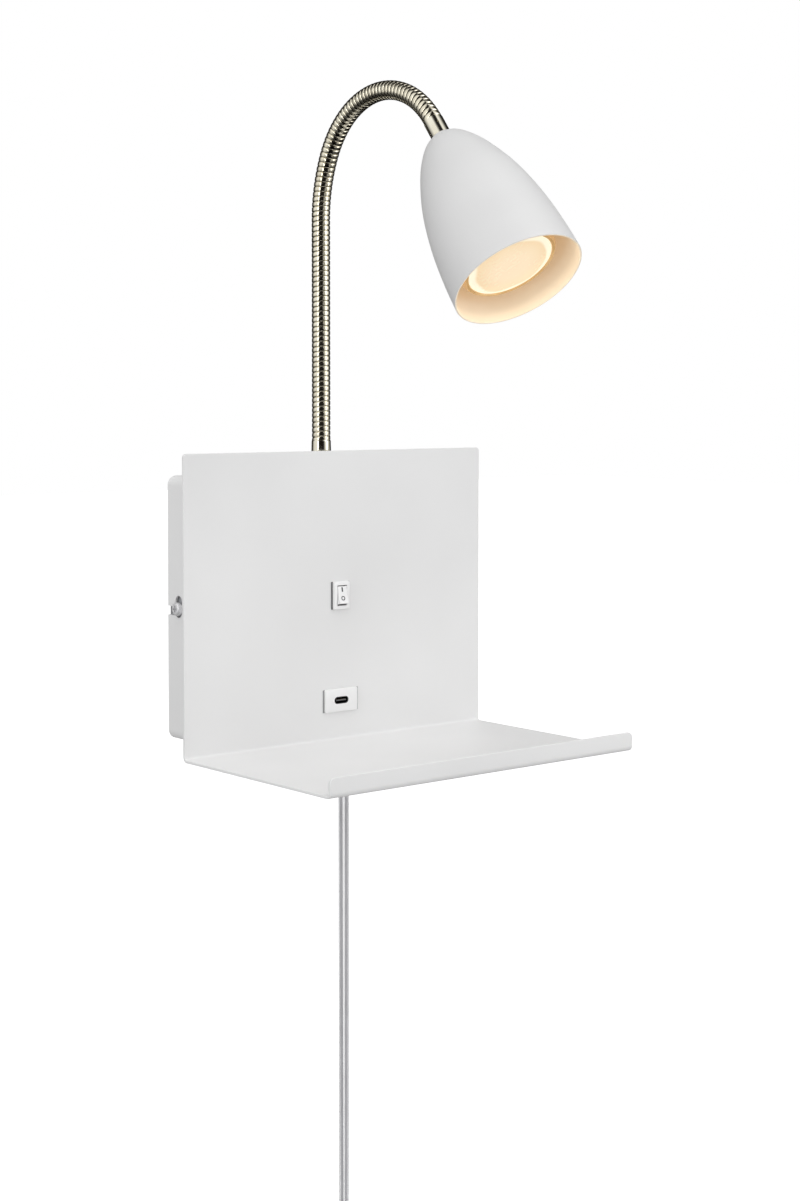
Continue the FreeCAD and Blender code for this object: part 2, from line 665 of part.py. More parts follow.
# ---------------------------------------------------------------- root: switch
def switch_housing():
    """Bezel and body of the rocker switch, hollow for the rocker and the see-saw contact."""
    bezel = rounded_block(centred(SWITCH_BEZEL_WIDTH), (PANEL_FRONT - SWITCH_BEZEL_PROUD, PANEL_FRONT),
                          centred(SWITCH_BEZEL_HEIGHT, SWITCH_RISE), SWITCH_CORNER_RADIUS)
    edges = [e for e in bezel.Edges if abs(e.CenterOfMass.y - PANEL_FRONT + SWITCH_BEZEL_PROUD) < 0.01]
    bezel = bezel.makeChamfer(SWITCH_BEZEL_BEVEL, edges)
    body = block(centred(SWITCH_BODY_WIDTH), (PANEL_FRONT, PANEL_FRONT + SWITCH_BODY_DEPTH),
                 centred(SWITCH_BODY_HEIGHT, SWITCH_RISE))
    hollow = block(centred(SWITCH_BODY_WIDTH - 2 * SWITCH_WALL),
                   (PANEL_FRONT - SWITCH_BEZEL_PROUD - 1, PANEL_FRONT + SWITCH_BODY_DEPTH - SWITCH_WALL),
                   centred(SWITCH_BODY_HEIGHT - 2 * SWITCH_WALL, SWITCH_RISE))
    housing = bezel.fuse(body).cut(hollow)
    reach = SWITCH_BODY_WIDTH / 2 - SWITCH_WALL + ROCKER_PIN_LENGTH + ROCKER_GAP
    pin_hole = rod(ROCKER_PIN_RADIUS + ROCKER_PIN_CLEARANCE, 2 * reach,
                   V(-reach, SWITCH_PIVOT_Y, SWITCH_RISE), V(1, 0, 0))
    housing = housing.cut(pin_hole)
    for z in terminal_heights():
        slit = block(centred(TERMINAL_WIDTH), (PANEL_FRONT + SWITCH_BODY_DEPTH - 2 * SWITCH_WALL,
                                               PANEL_FRONT + SWITCH_BODY_DEPTH + 1),
                     centred(TERMINAL_SHEET, z))
        housing = housing.cut(slit)
    return housing


def terminal_heights():
    """Heights of the two blade terminals of the switch."""
    return centred(TERMINAL_SPACING, SWITCH_RISE)


def rocker_profile():
    """Side outline of the rocker at its level position, as points (forward, up) from its pivot."""
    half = SWITCH_BODY_HEIGHT / 2 - SWITCH_WALL - ROCKER_GAP
    face = ROCKER_FACE_PROUD - ROCKER_PIVOT_INSET
    tip = half * math.cos(math.radians(ROCKER_TILT)) - face * math.sin(math.radians(ROCKER_TILT))
    return tip, face


def rocker_button():
    """Rocker with a hollowed face, stub pins and a boss for its plunger, tipped to on."""
    tip, face = rocker_profile()
    width = SWITCH_BODY_WIDTH - 2 * SWITCH_WALL - 2 * ROCKER_GAP
    front, rear = SWITCH_PIVOT_Y - face, SWITCH_PIVOT_Y + ROCKER_DEPTH / 2
    button = block(centred(width), (front, rear), centred(2 * tip, SWITCH_RISE))
    # The two pads slope up to the ends, so that the face is a shallow V
    dip = face * math.tan(math.radians(ROCKER_TILT)) * ROCKER_DIP_SHARE
    wedge = Part.Face(Part.makePolygon([
        V(-width, front, SWITCH_RISE - tip),
        V(-width, front + dip, SWITCH_RISE),
        V(-width, front, SWITCH_RISE + tip),
        V(-width, front, SWITCH_RISE - tip),
    ])).extrude(V(2 * width, 0, 0))
    button = button.cut(wedge)
    relief = block(centred(2 * width), (SWITCH_PIVOT_Y + ROCKER_PIN_RADIUS + ROCKER_WEB, rear + 1),
                   (SWITCH_RISE + ROCKER_BOSS_HALF, SWITCH_RISE + 2 * tip))
    button = button.cut(relief).cut(relief.mirror(V(0, 0, SWITCH_RISE), V(0, 0, 1)))
    pins = rod(ROCKER_PIN_RADIUS, width + 2 * ROCKER_PIN_LENGTH,
               V(-width / 2 - ROCKER_PIN_LENGTH, SWITCH_PIVOT_Y, SWITCH_RISE), V(1, 0, 0))
    socket = rod(PLUNGER_RADIUS + PLUNGER_FIT, PLUNGER_SOCKET_DEPTH,
                 V(0, rear - PLUNGER_SOCKET_DEPTH, SWITCH_RISE), V(0, 1, 0))
    return tipped(button.fuse(pins).cut(socket), ROCKER_TILT, SWITCH_PIVOT_Y)


def tipped(shape, degrees, pivot_y):
    """Turn a switch piece about its own pivot so that its upper end goes in."""
    shape.rotate(V(0, pivot_y, SWITCH_RISE), V(1, 0, 0), -degrees)
    return shape


def switch_plunger():
    """Sprung plunger in the rocker, with a round tip on the see-saw contact."""
    rear = SWITCH_PIVOT_Y + ROCKER_DEPTH / 2
    tip = rear + PLUNGER_LENGTH - PLUNGER_RADIUS
    foot = V(0, rear - PLUNGER_SINK, SWITCH_RISE)
    pin = rod(PLUNGER_RADIUS, tip - foot.y, foot, V(0, 1, 0))
    pin = pin.fuse(Part.makeSphere(PLUNGER_RADIUS, V(0, tip, SWITCH_RISE)))
    return tipped(pin, ROCKER_TILT, SWITCH_PIVOT_Y)


def switch_contact():
    """See-saw contact on its fulcrum, tipped the opposite way to the rocker."""
    plate = block(centred(CONTACT_WIDTH), (CONTACT_PIVOT_Y - CONTACT_SHEET, CONTACT_PIVOT_Y),
                  centred(CONTACT_LENGTH, SWITCH_RISE))
    return tipped(plate, -CONTACT_TILT, CONTACT_PIVOT_Y)


def switch_terminals():
    """Two blade terminals behind the switch; one carries the fulcrum of the see-saw."""
    blades = []
    inside = PANEL_FRONT + SWITCH_BODY_DEPTH - 2 * SWITCH_WALL
    for z in terminal_heights():
        blades.append(block(centred(TERMINAL_WIDTH), (inside, inside + TERMINAL_LENGTH),
                            centred(TERMINAL_SHEET, z)))
    fulcrum_tip = CONTACT_PIVOT_Y + FULCRUM_GAP
    plate = block(centred(TERMINAL_WIDTH), (inside - TERMINAL_FOOT, inside),
                  (SWITCH_RISE - FULCRUM_THICKNESS / 2, blades[1].BoundBox.ZMax))
    post = block(centred(TERMINAL_WIDTH), (fulcrum_tip, inside), centred(FULCRUM_THICKNESS, SWITCH_RISE))
    blades[1] = blades[1].fuse(plate).fuse(post)
    return blades


# ---------------------------------------------------------------- root: USB-C socket
def usb_bezel():
    """Face plate and body that hold the socket."""
    plate = rounded_block(centred(USB_BEZEL_WIDTH), (PANEL_FRONT - USB_BEZEL_PROUD, PANEL_FRONT),
                          centred(USB_BEZEL_HEIGHT, USB_DROP), USB_CORNER_RADIUS)
    edges = [e for e in plate.Edges if abs(e.CenterOfMass.y - PANEL_FRONT + USB_BEZEL_PROUD) < 0.01]
    plate = plate.makeFillet(USB_BEZEL_ROUND, edges)
    body = block(centred(USB_BODY_WIDTH), (PANEL_FRONT, PANEL_FRONT + USB_BODY_DEPTH),
                 centred(USB_BODY_HEIGHT, USB_DROP))
    slot = usb_slot(USB_SLOT_WIDTH + 2 * USB_SHELL_WALL, USB_SLOT_HEIGHT + 2 * USB_SHELL_WALL,
                    -USB_BEZEL_PROUD - 1, USB_BODY_DEPTH + 1)
    return plate.fuse(body).cut(slot)


def usb_slot(width, height, start, end):
    """Bar with fully rounded ends, between two depths behind the panel face."""
    y = (PANEL_FRONT + start, PANEL_FRONT + end)
    straight = width - height
    bar = block(centred(straight), y, centred(height, USB_DROP))
    for side in (-1, 1):
        foot = V(side * straight / 2, y[0], USB_DROP)
        bar = bar.fuse(rod(height / 2, y[1] - y[0], foot, V(0, 1, 0)))
    return bar.removeSplitter()


def usb_shell():
    """Metal shell of the socket, closed at the back."""
    start = -USB_BEZEL_PROUD + USB_SHELL_INSET
    outer = usb_slot(USB_SLOT_WIDTH + 2 * USB_SHELL_WALL, USB_SLOT_HEIGHT + 2 * USB_SHELL_WALL,
                     start, start + USB_SHELL_DEPTH)
    inner = usb_slot(USB_SLOT_WIDTH, USB_SLOT_HEIGHT, start - 1, start + USB_SHELL_DEPTH - USB_SHELL_WALL)
    return outer.cut(inner)


def usb_tongue():
    """Insulating tongue with the contacts, fixed to the back of the shell."""
    start = -USB_BEZEL_PROUD + USB_TONGUE_INSET
    end = -USB_BEZEL_PROUD + USB_SHELL_INSET + USB_SHELL_DEPTH - USB_SHELL_WALL
    return block(centred(USB_TONGUE_WIDTH), (PANEL_FRONT + start, PANEL_FRONT + end),
                 centred(USB_TONGUE_HEIGHT, USB_DROP))


def charger_places():
    """Depths of the charger case behind the socket."""
    front = PANEL_FRONT + USB_BODY_DEPTH + BOARD_GAP
    return front, front + CHARGER_DEPTH


def charger_case():
    """Closed-sided case of the charger, open to the front for the socket."""
    front, rear = charger_places()
    outer = block(centred(CHARGER_WIDTH, CHARGER_SHIFT), (front, rear), centred(CHARGER_HEIGHT, USB_DROP))
    inner = block(centred(CHARGER_WIDTH - 2 * CHARGER_WALL, CHARGER_SHIFT), (front - 1, rear - CHARGER_WALL),
                  centred(CHARGER_HEIGHT - 2 * CHARGER_WALL, USB_DROP))
    return outer.cut(inner)


def charger_board():
    """Board that carries the socket's contacts, with its transformer and capacitor."""
    front, rear = charger_places()
    fit = 2 * CHARGER_WALL + 2 * BOARD_GAP
    board = block(centred(CHARGER_WIDTH - fit, CHARGER_SHIFT), (front, front + BOARD_SHEET),
                  centred(CHARGER_HEIGHT - fit, USB_DROP))
    back = front + BOARD_SHEET
    room = rear - CHARGER_WALL - BOARD_GAP - back
    left, right = centred(BOARD_PARTS_SPACING, CHARGER_SHIFT)
    transformer = block(centred(TRANSFORMER_WIDTH, left), (back, back + room),
                        centred(TRANSFORMER_HEIGHT, USB_DROP))
    capacitor = rod(CAPACITOR_RADIUS, room, V(right, back, USB_DROP), V(0, 1, 0))
    return board.fuse(transformer).fuse(capacitor)


# ---------------------------------------------------------------- root: mains wiring
def terminal_ways():
    """Places of the ways of the terminal block along X."""
    pitch = TERMINAL_BLOCK_WIDTH / TERMINAL_WAYS
    return [TERMINAL_BLOCK_X + pitch * (way - (TERMINAL_WAYS - 1) / 2) for way in range(TERMINAL_WAYS)]


def terminal_depth():
    """Depth of the wire bores of the terminal block."""
    return BOX_FRONT_INSIDE + TERMINAL_BLOCK_DEPTH / 2


def terminal_block():
    """Moulded block with a wire bore along Z and a screw hole from behind in each way."""
    body = block(centred(TERMINAL_BLOCK_WIDTH, TERMINAL_BLOCK_X),
                 (BOX_FRONT_INSIDE, BOX_FRONT_INSIDE + TERMINAL_BLOCK_DEPTH),
                 centred(TERMINAL_BLOCK_HEIGHT, TERMINAL_BLOCK_Z))
    for x in terminal_ways():
        low = V(x, terminal_depth(), TERMINAL_BLOCK_Z - TERMINAL_BLOCK_HEIGHT)
        body = body.cut(rod(TERMINAL_BORE_RADIUS, 2 * TERMINAL_BLOCK_HEIGHT, low, V(0, 0, 1)))
        for z in terminal_screw_heights():
            hole = TERMINAL_SCREW_RADIUS + THREAD_CLEARANCE
            body = body.cut(rod(hole, TERMINAL_BLOCK_DEPTH, V(x, terminal_depth(), z), V(0, 1, 0)))
    return body


def terminal_screw_heights():
    """Heights of the clamp screws in each way."""
    return centred(TERMINAL_SCREW_SPACING, TERMINAL_BLOCK_Z)


def terminal_screws():
    """Clamp screws, driven from behind down to the wires."""
    screws = []
    for x in terminal_ways():
        for z in terminal_screw_heights():
            foot = V(x, terminal_depth() + WIRE_RADIUS + WIRE_CRUSH_GAP, z)
            screw = rod(TERMINAL_SCREW_RADIUS, TERMINAL_SCREW_LENGTH, foot, V(0, 1, 0))
            end = foot.y + TERMINAL_SCREW_LENGTH
            slot = block(centred(2 * TERMINAL_SCREW_RADIUS, x), (end - TERMINAL_SCREW_SLOT_DEPTH, end),
                         centred(TERMINAL_SCREW_SLOT_WIDTH, z))
            screws.append(screw.cut(slot))
    return screws


def bent_tube(points, radius):
    """Tube along straight runs joined by tangent arcs, each as large as its two runs allow."""
    edges = []
    last = points[0]
    for before, corner, after in zip(points[:-2], points[1:-1], points[2:]):
        arrive, leave = corner - before, after - corner
        cut_back = 0.45 * min(arrive.Length, leave.Length)
        turn = arrive.getAngle(leave)
        bend = cut_back / math.tan(turn / 2)
        a = corner - V(arrive).normalize() * cut_back
        b = corner + V(leave).normalize() * cut_back
        inward = (V(leave).normalize() - V(arrive).normalize()).normalize()
        middle = corner + inward * (math.hypot(bend, cut_back) - bend)
        edges.append(Part.LineSegment(last, a).toShape())
        edges.append(Part.Arc(a, middle, b).toShape())
        last = b
    edges.append(Part.LineSegment(last, points[-1]).toShape())
    spine = Part.Wire(edges)
    section = Part.Wire([Part.Circle(points[0], points[1] - points[0], radius).toShape()])
    return spine.makePipeShell([section], True, True)


def internal_wires():
    """Single wires: cord to terminals, terminals to switch, charger and neck cable."""
    depth = terminal_depth()
    way_a, way_b = terminal_ways()
    block_top = TERMINAL_BLOCK_Z + TERMINAL_BLOCK_HEIGHT / 2
    block_low = TERMINAL_BLOCK_Z - TERMINAL_BLOCK_HEIGHT / 2
    grip_top = BOX_FLOOR + BOX_WALL + GRIP_COLLAR_HEIGHT
    cord_y = -CORD_EXIT_DEPTH
    pair = WIRE_PITCH / 2
    blade_y = PANEL_FRONT + SWITCH_BODY_DEPTH - 2 * SWITCH_WALL + TERMINAL_LENGTH + WIRE_RADIUS + WIRE_CRUSH_GAP
    low_blade, high_blade = terminal_heights()
    neck_low = HOSE_START - CABLE_BELOW_HOSE
    case_x = CHARGER_SHIFT + CHARGER_WIDTH * 0.25
    case_top = USB_DROP + CHARGER_HEIGHT / 2
    case_y = sum(charger_places()) / 2
    wires = [
        # cord to the two ways of the block, from below
        [V(CORD_EXIT_X - pair, cord_y, grip_top), V(CORD_EXIT_X - pair, cord_y, grip_top + 9),
         V(CORD_EXIT_X + 4, depth + 3, grip_top + 16), V(way_a - 3, depth, grip_top + 17),
         V(way_a, depth, block_low + 1)],
        [V(CORD_EXIT_X + pair, cord_y, grip_top), V(CORD_EXIT_X + pair, cord_y, grip_top + 5),
         V(way_a - 8, depth + 3, grip_top + 9), V(way_b - 3, depth, grip_top + 11),
         V(way_b, depth, block_low + 1)],
        # block to the lower blade of the switch
        [V(way_a - pair, depth, block_top - 1), V(way_a - pair, depth, block_top + 8),
         V(18, -9, low_blade - 3), V(6, blade_y, low_blade), V(-1, blade_y, low_blade)],
        # upper blade of the switch to the neck cable
        [V(-1, blade_y, high_blade), V(6, blade_y, high_blade + 1), V(7, -11, high_blade + 18),
         V(pair, -NECK_DEPTH, neck_low - 13), V(pair, -NECK_DEPTH, neck_low)],
        # block to the neck cable
        [V(way_b + pair, depth, block_top - 1), V(way_b + pair, depth, block_top + 16), V(24, -12, 22),
         V(-pair, -NECK_DEPTH, neck_low - 18), V(-pair, -NECK_DEPTH, neck_low)],
        # block to the charger
        [V(way_a + pair, depth, block_top - 1), V(way_a + pair, depth, block_top + 5),
         V(22, -8, block_top + 3), V(case_x + 3, case_y, case_top + 10), V(case_x + 3, case_y, case_top)],
        [V(way_b - pair, depth, block_top - 1), V(way_b - pair, depth, block_top + 8),
         V(26, -5, block_top + 4), V(case_x - 3, case_y, case_top + 13), V(case_x - 3, case_y, case_top)],
    ]
    return [bent_tube(route, WIRE_RADIUS) for route in wires]


def cord_grip():
    """Moulded bush in the box bottom that tapers down round the cord."""
    floor_z = BOX_FLOOR
    centre = V(CORD_EXIT_X, -CORD_EXIT_DEPTH, 0)
    up = V(0, 0, 1)
    collar = rod(GRIP_COLLAR_RADIUS, GRIP_COLLAR_HEIGHT, centre + up * (floor_z + BOX_WALL), up)
    neck = rod(GRIP_NECK_RADIUS, BOX_WALL, centre + up * floor_z, up)
    flange = rod(GRIP_COLLAR_RADIUS, GRIP_COLLAR_HEIGHT, centre + up * (floor_z - GRIP_COLLAR_HEIGHT), up)
    tail_top = floor_z - GRIP_COLLAR_HEIGHT
    tail = Part.makeCone(GRIP_TAIL_END_RADIUS, GRIP_NECK_RADIUS, GRIP_TAIL_LENGTH,
                         centre + up * (tail_top - GRIP_TAIL_LENGTH), up)
    bush = collar.fuse(neck).fuse(flange).fuse(tail)
    low = tail_top - GRIP_TAIL_LENGTH
    length = floor_z + BOX_WALL + GRIP_COLLAR_HEIGHT - low
    return bush.cut(rod(CORD_RADIUS, length, centre + up * low, up))


# ---------------------------------------------------------------- root: cord and plug
def cord_tube():
    """Cord that hangs straight from the inside of the grip down to the coil."""
    top = BOX_FLOOR + BOX_WALL + GRIP_COLLAR_HEIGHT
    bottom = COIL_CENTRE_Z + coil_drop(COIL_OUTER_RADIUS)
    return rod(CORD_RADIUS, top - bottom, V(CORD_EXIT_X, -CORD_EXIT_DEPTH, bottom), V(0, 0, 1))


def coil_drop(lane_radius):
    """Height over the coil's middle where a cord in line with a lane's side leaves that lane."""
    return math.sqrt((lane_radius + CORD_RADIUS) ** 2 - lane_radius ** 2)


def coil_centre():
    """Middle of the coil, upright and level with the wall; its right side is in line with the cord."""
    return V(COIL_CENTRE_X, 0, COIL_CENTRE_Z)


def cord_coil():
    """Outer shape of the coil: a wide inner layer of turns and a narrower outer layer at its rear."""
    inner = COIL_INNER_RADIUS - CORD_RADIUS
    step = COIL_OUTER_RADIUS - CORD_RADIUS
    outer = COIL_OUTER_RADIUS + CORD_RADIUS
    rear, front = COIL_REAR_LANE_Y + CORD_RADIUS, COIL_FRONT_LANE_Y - CORD_RADIUS
    shelf = -CORD_EXIT_DEPTH - CORD_RADIUS
    outline = Part.makePolygon([
        V(inner, front, 0), V(step, front, 0), V(step, shelf, 0), V(outer, shelf, 0),
        V(outer, rear, 0), V(inner, rear, 0), V(inner, front, 0),
    ])
    ring = Part.Face(outline).revolve(V(0, 0, 0), V(0, 1, 0), 360)
    ends = [e for e in ring.Edges if isinstance(e.Curve, Part.Circle) and
            min(abs(e.CenterOfMass.y - rear), abs(e.CenterOfMass.y - front)) < 0.01]
    ring = ring.makeFillet(COIL_EDGE_ROUND, ends)
    ring.translate(coil_centre())
    return ring


def cord_tie():
    """Strap round the side of the coil where the cord comes in and the free end leaves."""
    side = COIL_CENTRE_X
    inner = COIL_INNER_RADIUS - CORD_RADIUS - TIE_SLACK
    outer = COIL_OUTER_RADIUS + CORD_RADIUS
    rear, front = COIL_REAR_LANE_Y + CORD_RADIUS, COIL_FRONT_LANE_Y - CORD_RADIUS
    z = centred(TIE_WIDTH, COIL_CENTRE_Z)
    wall = TIE_THICKNESS
    corner = TIE_CORNER_RADIUS
    x, y = (side + inner, side + outer), (front, rear)
    around_x, around_y = (x[0] - wall, x[1] + wall), (y[0] - wall, y[1] + wall)
    strap = rounded_strap(around_x, around_y, z, corner + wall)
    return strap.cut(rounded_strap(x, y, z, corner))


def rounded_strap(x, y, z, radius):
    """Block whose four upright edges are rounded."""
    solid = block(x, y, z)
    edges = [e for e in solid.Edges if abs(e.tangentAt(e.FirstParameter).z) > 0.9]
    return solid.makeFillet(radius, edges)


def cord_tail():
    """Short free end from the innermost turn down to the plug."""
    top = COIL_CENTRE_Z - coil_drop(COIL_INNER_RADIUS)
    return rod(CORD_RADIUS, top - CORD_TAIL_END_Z, V(PLUG_X, COIL_FRONT_LANE_Y, CORD_TAIL_END_Z), V(0, 0, 1))


def plug_body():
    """Flat moulded plug: relief cone, shoulders and a body that widens to its face."""
    face = plug_face()
    shoulder = face + PLUG_LENGTH
    x0, y0 = PLUG_X, COIL_FRONT_LANE_Y
    cone = Part.makeCone(PLUG_RELIEF_FOOT_RADIUS, PLUG_RELIEF_RADIUS, PLUG_RELIEF_LENGTH,
                         V(x0, y0, shoulder), V(0, 0, 1))
    half, neck = PLUG_WIDTH / 2, PLUG_NECK_WIDTH / 2
    middle = shoulder - PLUG_TAPER_LENGTH
    outline = Part.makePolygon([
        V(x0 - neck, 0, shoulder), V(x0 + neck, 0, shoulder), V(x0 + half, 0, middle),
        V(x0 + half, 0, face), V(x0 - half, 0, face), V(x0 - half, 0, middle), V(x0 - neck, 0, shoulder),
    ])
    body = Part.Face(outline).extrude(V(0, PLUG_THICKNESS, 0))
    body.translate(V(0, y0 - PLUG_THICKNESS / 2, 0))
    body = body.makeFillet(PLUG_EDGE_ROUND, body.Edges)
    body = body.fuse(cone)
    for x in plug_pin_places():
        hole = rod(PLUG_PIN_RADIUS, PLUG_PIN_SINK, V(x, y0, face), V(0, 0, 1))
        body = body.cut(hole)
    return body


def plug_pin_places():
    """Places of the two plug pins along X."""
    return centred(PLUG_PIN_SPACING, PLUG_X)


def plug_face():
    """Height of the face that the pins stand out of."""
    return CORD_TAIL_END_Z - PLUG_RELIEF_LENGTH - PLUG_LENGTH


def plug_pins():
    """Two round pins, slimmer where a sleeve insulates them."""
    pins = []
    slim = PLUG_PIN_RADIUS - PLUG_SLEEVE_WALL
    for x in plug_pin_places():
        foot = V(x, COIL_FRONT_LANE_Y, plug_face())
        tip = rod(PLUG_PIN_RADIUS, PLUG_PIN_LENGTH - PLUG_SLEEVE_LENGTH,
                  foot - V(0, 0, PLUG_PIN_LENGTH), V(0, 0, 1))
        low = [e for e in tip.Edges if e.CenterOfMass.z < foot.z - PLUG_PIN_LENGTH + 0.01
               and isinstance(e.Curve, Part.Circle)]
        tip = tip.makeFillet(PLUG_PIN_TIP_ROUND, low)
        stem = rod(slim, PLUG_SLEEVE_LENGTH, foot - V(0, 0, PLUG_SLEEVE_LENGTH), V(0, 0, 1))
        root = rod(PLUG_PIN_RADIUS, PLUG_PIN_SINK, foot, V(0, 0, 1))
        pins.append(tip.fuse(stem).fuse(root))
    return pins


def plug_sleeves():
    """Insulating sleeves round the upper half of each pin."""
    slim = PLUG_PIN_RADIUS - PLUG_SLEEVE_WALL
    sleeves = []
    for x in plug_pin_places():
        foot = V(x, COIL_FRONT_LANE_Y, plug_face() - PLUG_SLEEVE_LENGTH)
        sleeves.append(tube(PLUG_PIN_RADIUS, slim, PLUG_SLEEVE_LENGTH, foot, V(0, 0, 1)))
    return sleeves


# ---------------------------------------------------------------- root: foot of the gooseneck
def neck_ferrule():
    """Tapered sleeve on the box top with a threaded end below and a spigot in the hose."""
    up = V(0, 0, 1)
    foot = V(0, -NECK_DEPTH, BOX_TOP)
    sleeve = Part.makeCone(FERRULE_BASE_RADIUS, FERRULE_TOP_RADIUS, FERRULE_HEIGHT, foot, up)
    thread = rod(NECK_THREAD_RADIUS, NECK_THREAD_LENGTH, foot - up * NECK_THREAD_LENGTH, up)
    spigot = rod(FERRULE_SPIGOT_RADIUS, FERRULE_SPIGOT_LENGTH - SPIGOT_FIT, foot + up * FERRULE_HEIGHT, up)
    bore = rod(HOSE_BORE_RADIUS, NECK_THREAD_LENGTH + FERRULE_HEIGHT + FERRULE_SPIGOT_LENGTH,
               foot - up * NECK_THREAD_LENGTH, up)
    return sleeve.fuse(thread).fuse(spigot).cut(bore)


def neck_washer():
    """Washer under the box top."""
    foot = V(0, -NECK_DEPTH, BOX_TOP - BOX_WALL - NECK_WASHER_HEIGHT)
    bore = NECK_THREAD_RADIUS + NECK_HOLE_CLEARANCE
    return tube(NECK_WASHER_RADIUS, bore, NECK_WASHER_HEIGHT, foot, V(0, 0, 1))


def neck_nut():
    """Nut that holds the gooseneck's foot."""
    foot = V(0, -NECK_DEPTH, BOX_TOP - BOX_WALL - NECK_WASHER_HEIGHT - NECK_NUT_HEIGHT)
    return nut(NECK_NUT_FLATS, NECK_THREAD_RADIUS + THREAD_CLEARANCE, NECK_NUT_HEIGHT, foot, V(0, 0, 1))


# ---------------------------------------------------------------- head
HEAD_AXIS = hose_direction(HOSE_LENGTH)
HEAD_START = hose_point(HOSE_LENGTH)
NOSE = END_FERRULE_LENGTH
RIM = NOSE + SHADE_LENGTH
PLATE_PLACE = NOSE + SHADE_WALL + SPACER_LENGTH
NUT_PLACE = PLATE_PLACE + HOLDER_SHEET
HOLDER_PLACE = NUT_PLACE + HOLDER_LEG_LENGTH
LAMP_PLACE = HOLDER_PLACE + HOLDER_LENGTH + LAMP_SEAT_GAP
HEAD_PLACEMENT = FreeCAD.Placement(
    HEAD_START, FreeCAD.Rotation(V(1, 0, 0), HEAD_AXIS.cross(V(1, 0, 0)), HEAD_AXIS, "ZXY"))


def in_head(shape):
    """Move a shape drawn with the hose end at the origin and the head along +Z to its place."""
    shape.Placement = HEAD_PLACEMENT.multiply(shape.Placement)
    return shape


def revolved(points_or_edges):
    """Turn an outline in the XZ plane about Z."""
    return Part.Face(Part.Wire(points_or_edges)).revolve(V(0, 0, 0), V(0, 0, 1), 360)


def head_rod(radius, start, end):
    """Cylinder on the head's axis between two places."""
    return rod(radius, end - start, V(0, 0, start), V(0, 0, 1))


def end_ferrule():
    """Plain sleeve on the hose end, its spigot, and the thread that carries the shade."""
    sleeve = head_rod(END_FERRULE_RADIUS, 0, END_FERRULE_LENGTH)
    spigot = head_rod(FERRULE_SPIGOT_RADIUS, -END_SPIGOT_LENGTH + SPIGOT_FIT, 0)
    thread_end = NUT_PLACE + SHADE_NUT_HEIGHT + END_THREAD_PAST_NUT
    thread = head_rod(SHADE_THREAD_RADIUS, END_FERRULE_LENGTH, thread_end)
    ferrule = sleeve.fuse(spigot).fuse(thread)
    ferrule = ferrule.cut(head_rod(HOSE_BORE_RADIUS, -END_SPIGOT_LENGTH, thread_end))
    turn = math.radians(END_FERRULE_HOLE_TURN)
    out = V(math.cos(turn), math.sin(turn), 0)
    foot = out * (END_FERRULE_RADIUS - END_FERRULE_HOLE_DEPTH) + V(0, 0, END_FERRULE_HOLE_PLACE)
    hole = rod(END_FERRULE_HOLE_RADIUS, 2 * END_FERRULE_HOLE_DEPTH, foot, out)
    return in_head(ferrule.cut(hole))


# Outer radius of the shade against the distance from its rim, from the nose down
SHADE_POINTS = ((88.0, 11.4), (80.0, 16.9), (70.0, 21.6), (55.0, 26.8), (35.0, 30.9), (15.0, 32.9))


def shade_curve(inset):
    """Outline of the shade from nose to rim, moved inwards along its normals by an inset."""
    stations = [(SHADE_LENGTH, SHADE_NOSE_RADIUS)] + list(SHADE_POINTS) + [(0.0, SHADE_RIM_RADIUS)]
    curve = Part.BSplineCurve()
    curve.interpolate(Points=[V(r, 0, RIM - back) for back, r in stations],
                      InitialTangent=V(1, 0, 0.25), FinalTangent=V(0.03, 0, 1))
    if not inset:
        return curve
    first, last = curve.FirstParameter, curve.LastParameter
    points = []
    for step in range(len(stations)):
        at = first + (last - first) * step / (len(stations) - 1)
        tangent = V(curve.tangent(at)[0])
        points.append(curve.value(at) + V(-tangent.z, 0, tangent.x) * inset)
    points[-1].z = RIM
    inner = Part.BSplineCurve()
    inner.interpolate(points)
    return inner


def shade():
    """Spun bullet-shaped shell with a flat seat on the nose."""
    outer, inner = shade_curve(0), shade_curve(SHADE_WALL)
    hole = SHADE_THREAD_RADIUS + SHADE_HOLE_CLEARANCE
    nose_out = outer.value(outer.FirstParameter)
    nose_in = inner.value(inner.FirstParameter)
    corners = [V(hole, 0, nose_out.z), nose_out]
    under = V(hole, 0, NOSE + SHADE_WALL)
    seat = V(nose_in.x, 0, NOSE + SHADE_WALL)
    edges = [
        Part.LineSegment(*corners).toShape(),
        outer.toShape(),
        Part.LineSegment(outer.value(outer.LastParameter), inner.value(inner.LastParameter)).toShape(),
        inner.toShape(),
        Part.LineSegment(nose_in, seat).toShape() if (nose_in - seat).Length > 0.01 else None,
        Part.LineSegment(seat, under).toShape(),
        Part.LineSegment(under, corners[0]).toShape(),
    ]
    profile = Part.__sortEdges__([e for e in edges if e])
    return in_head(revolved(profile))


def shade_spacer():
    """Ring between the nose of the shade and the holder bracket."""
    foot = NOSE + SHADE_WALL
    ring = tube(SPACER_RADIUS, SHADE_THREAD_RADIUS + THREAD_CLEARANCE, SPACER_LENGTH, V(0, 0, foot), V(0, 0, 1))
    return in_head(ring)


def shade_nut():
    """Nut that clamps bracket, spacer and shade on the end ferrule."""
    bore = SHADE_THREAD_RADIUS + THREAD_CLEARANCE
    foot = V(0, 0, NUT_PLACE)
    return in_head(nut(SHADE_NUT_FLATS, bore, SHADE_NUT_HEIGHT, foot, V(0, 0, 1), SHADE_NUT_TURN))


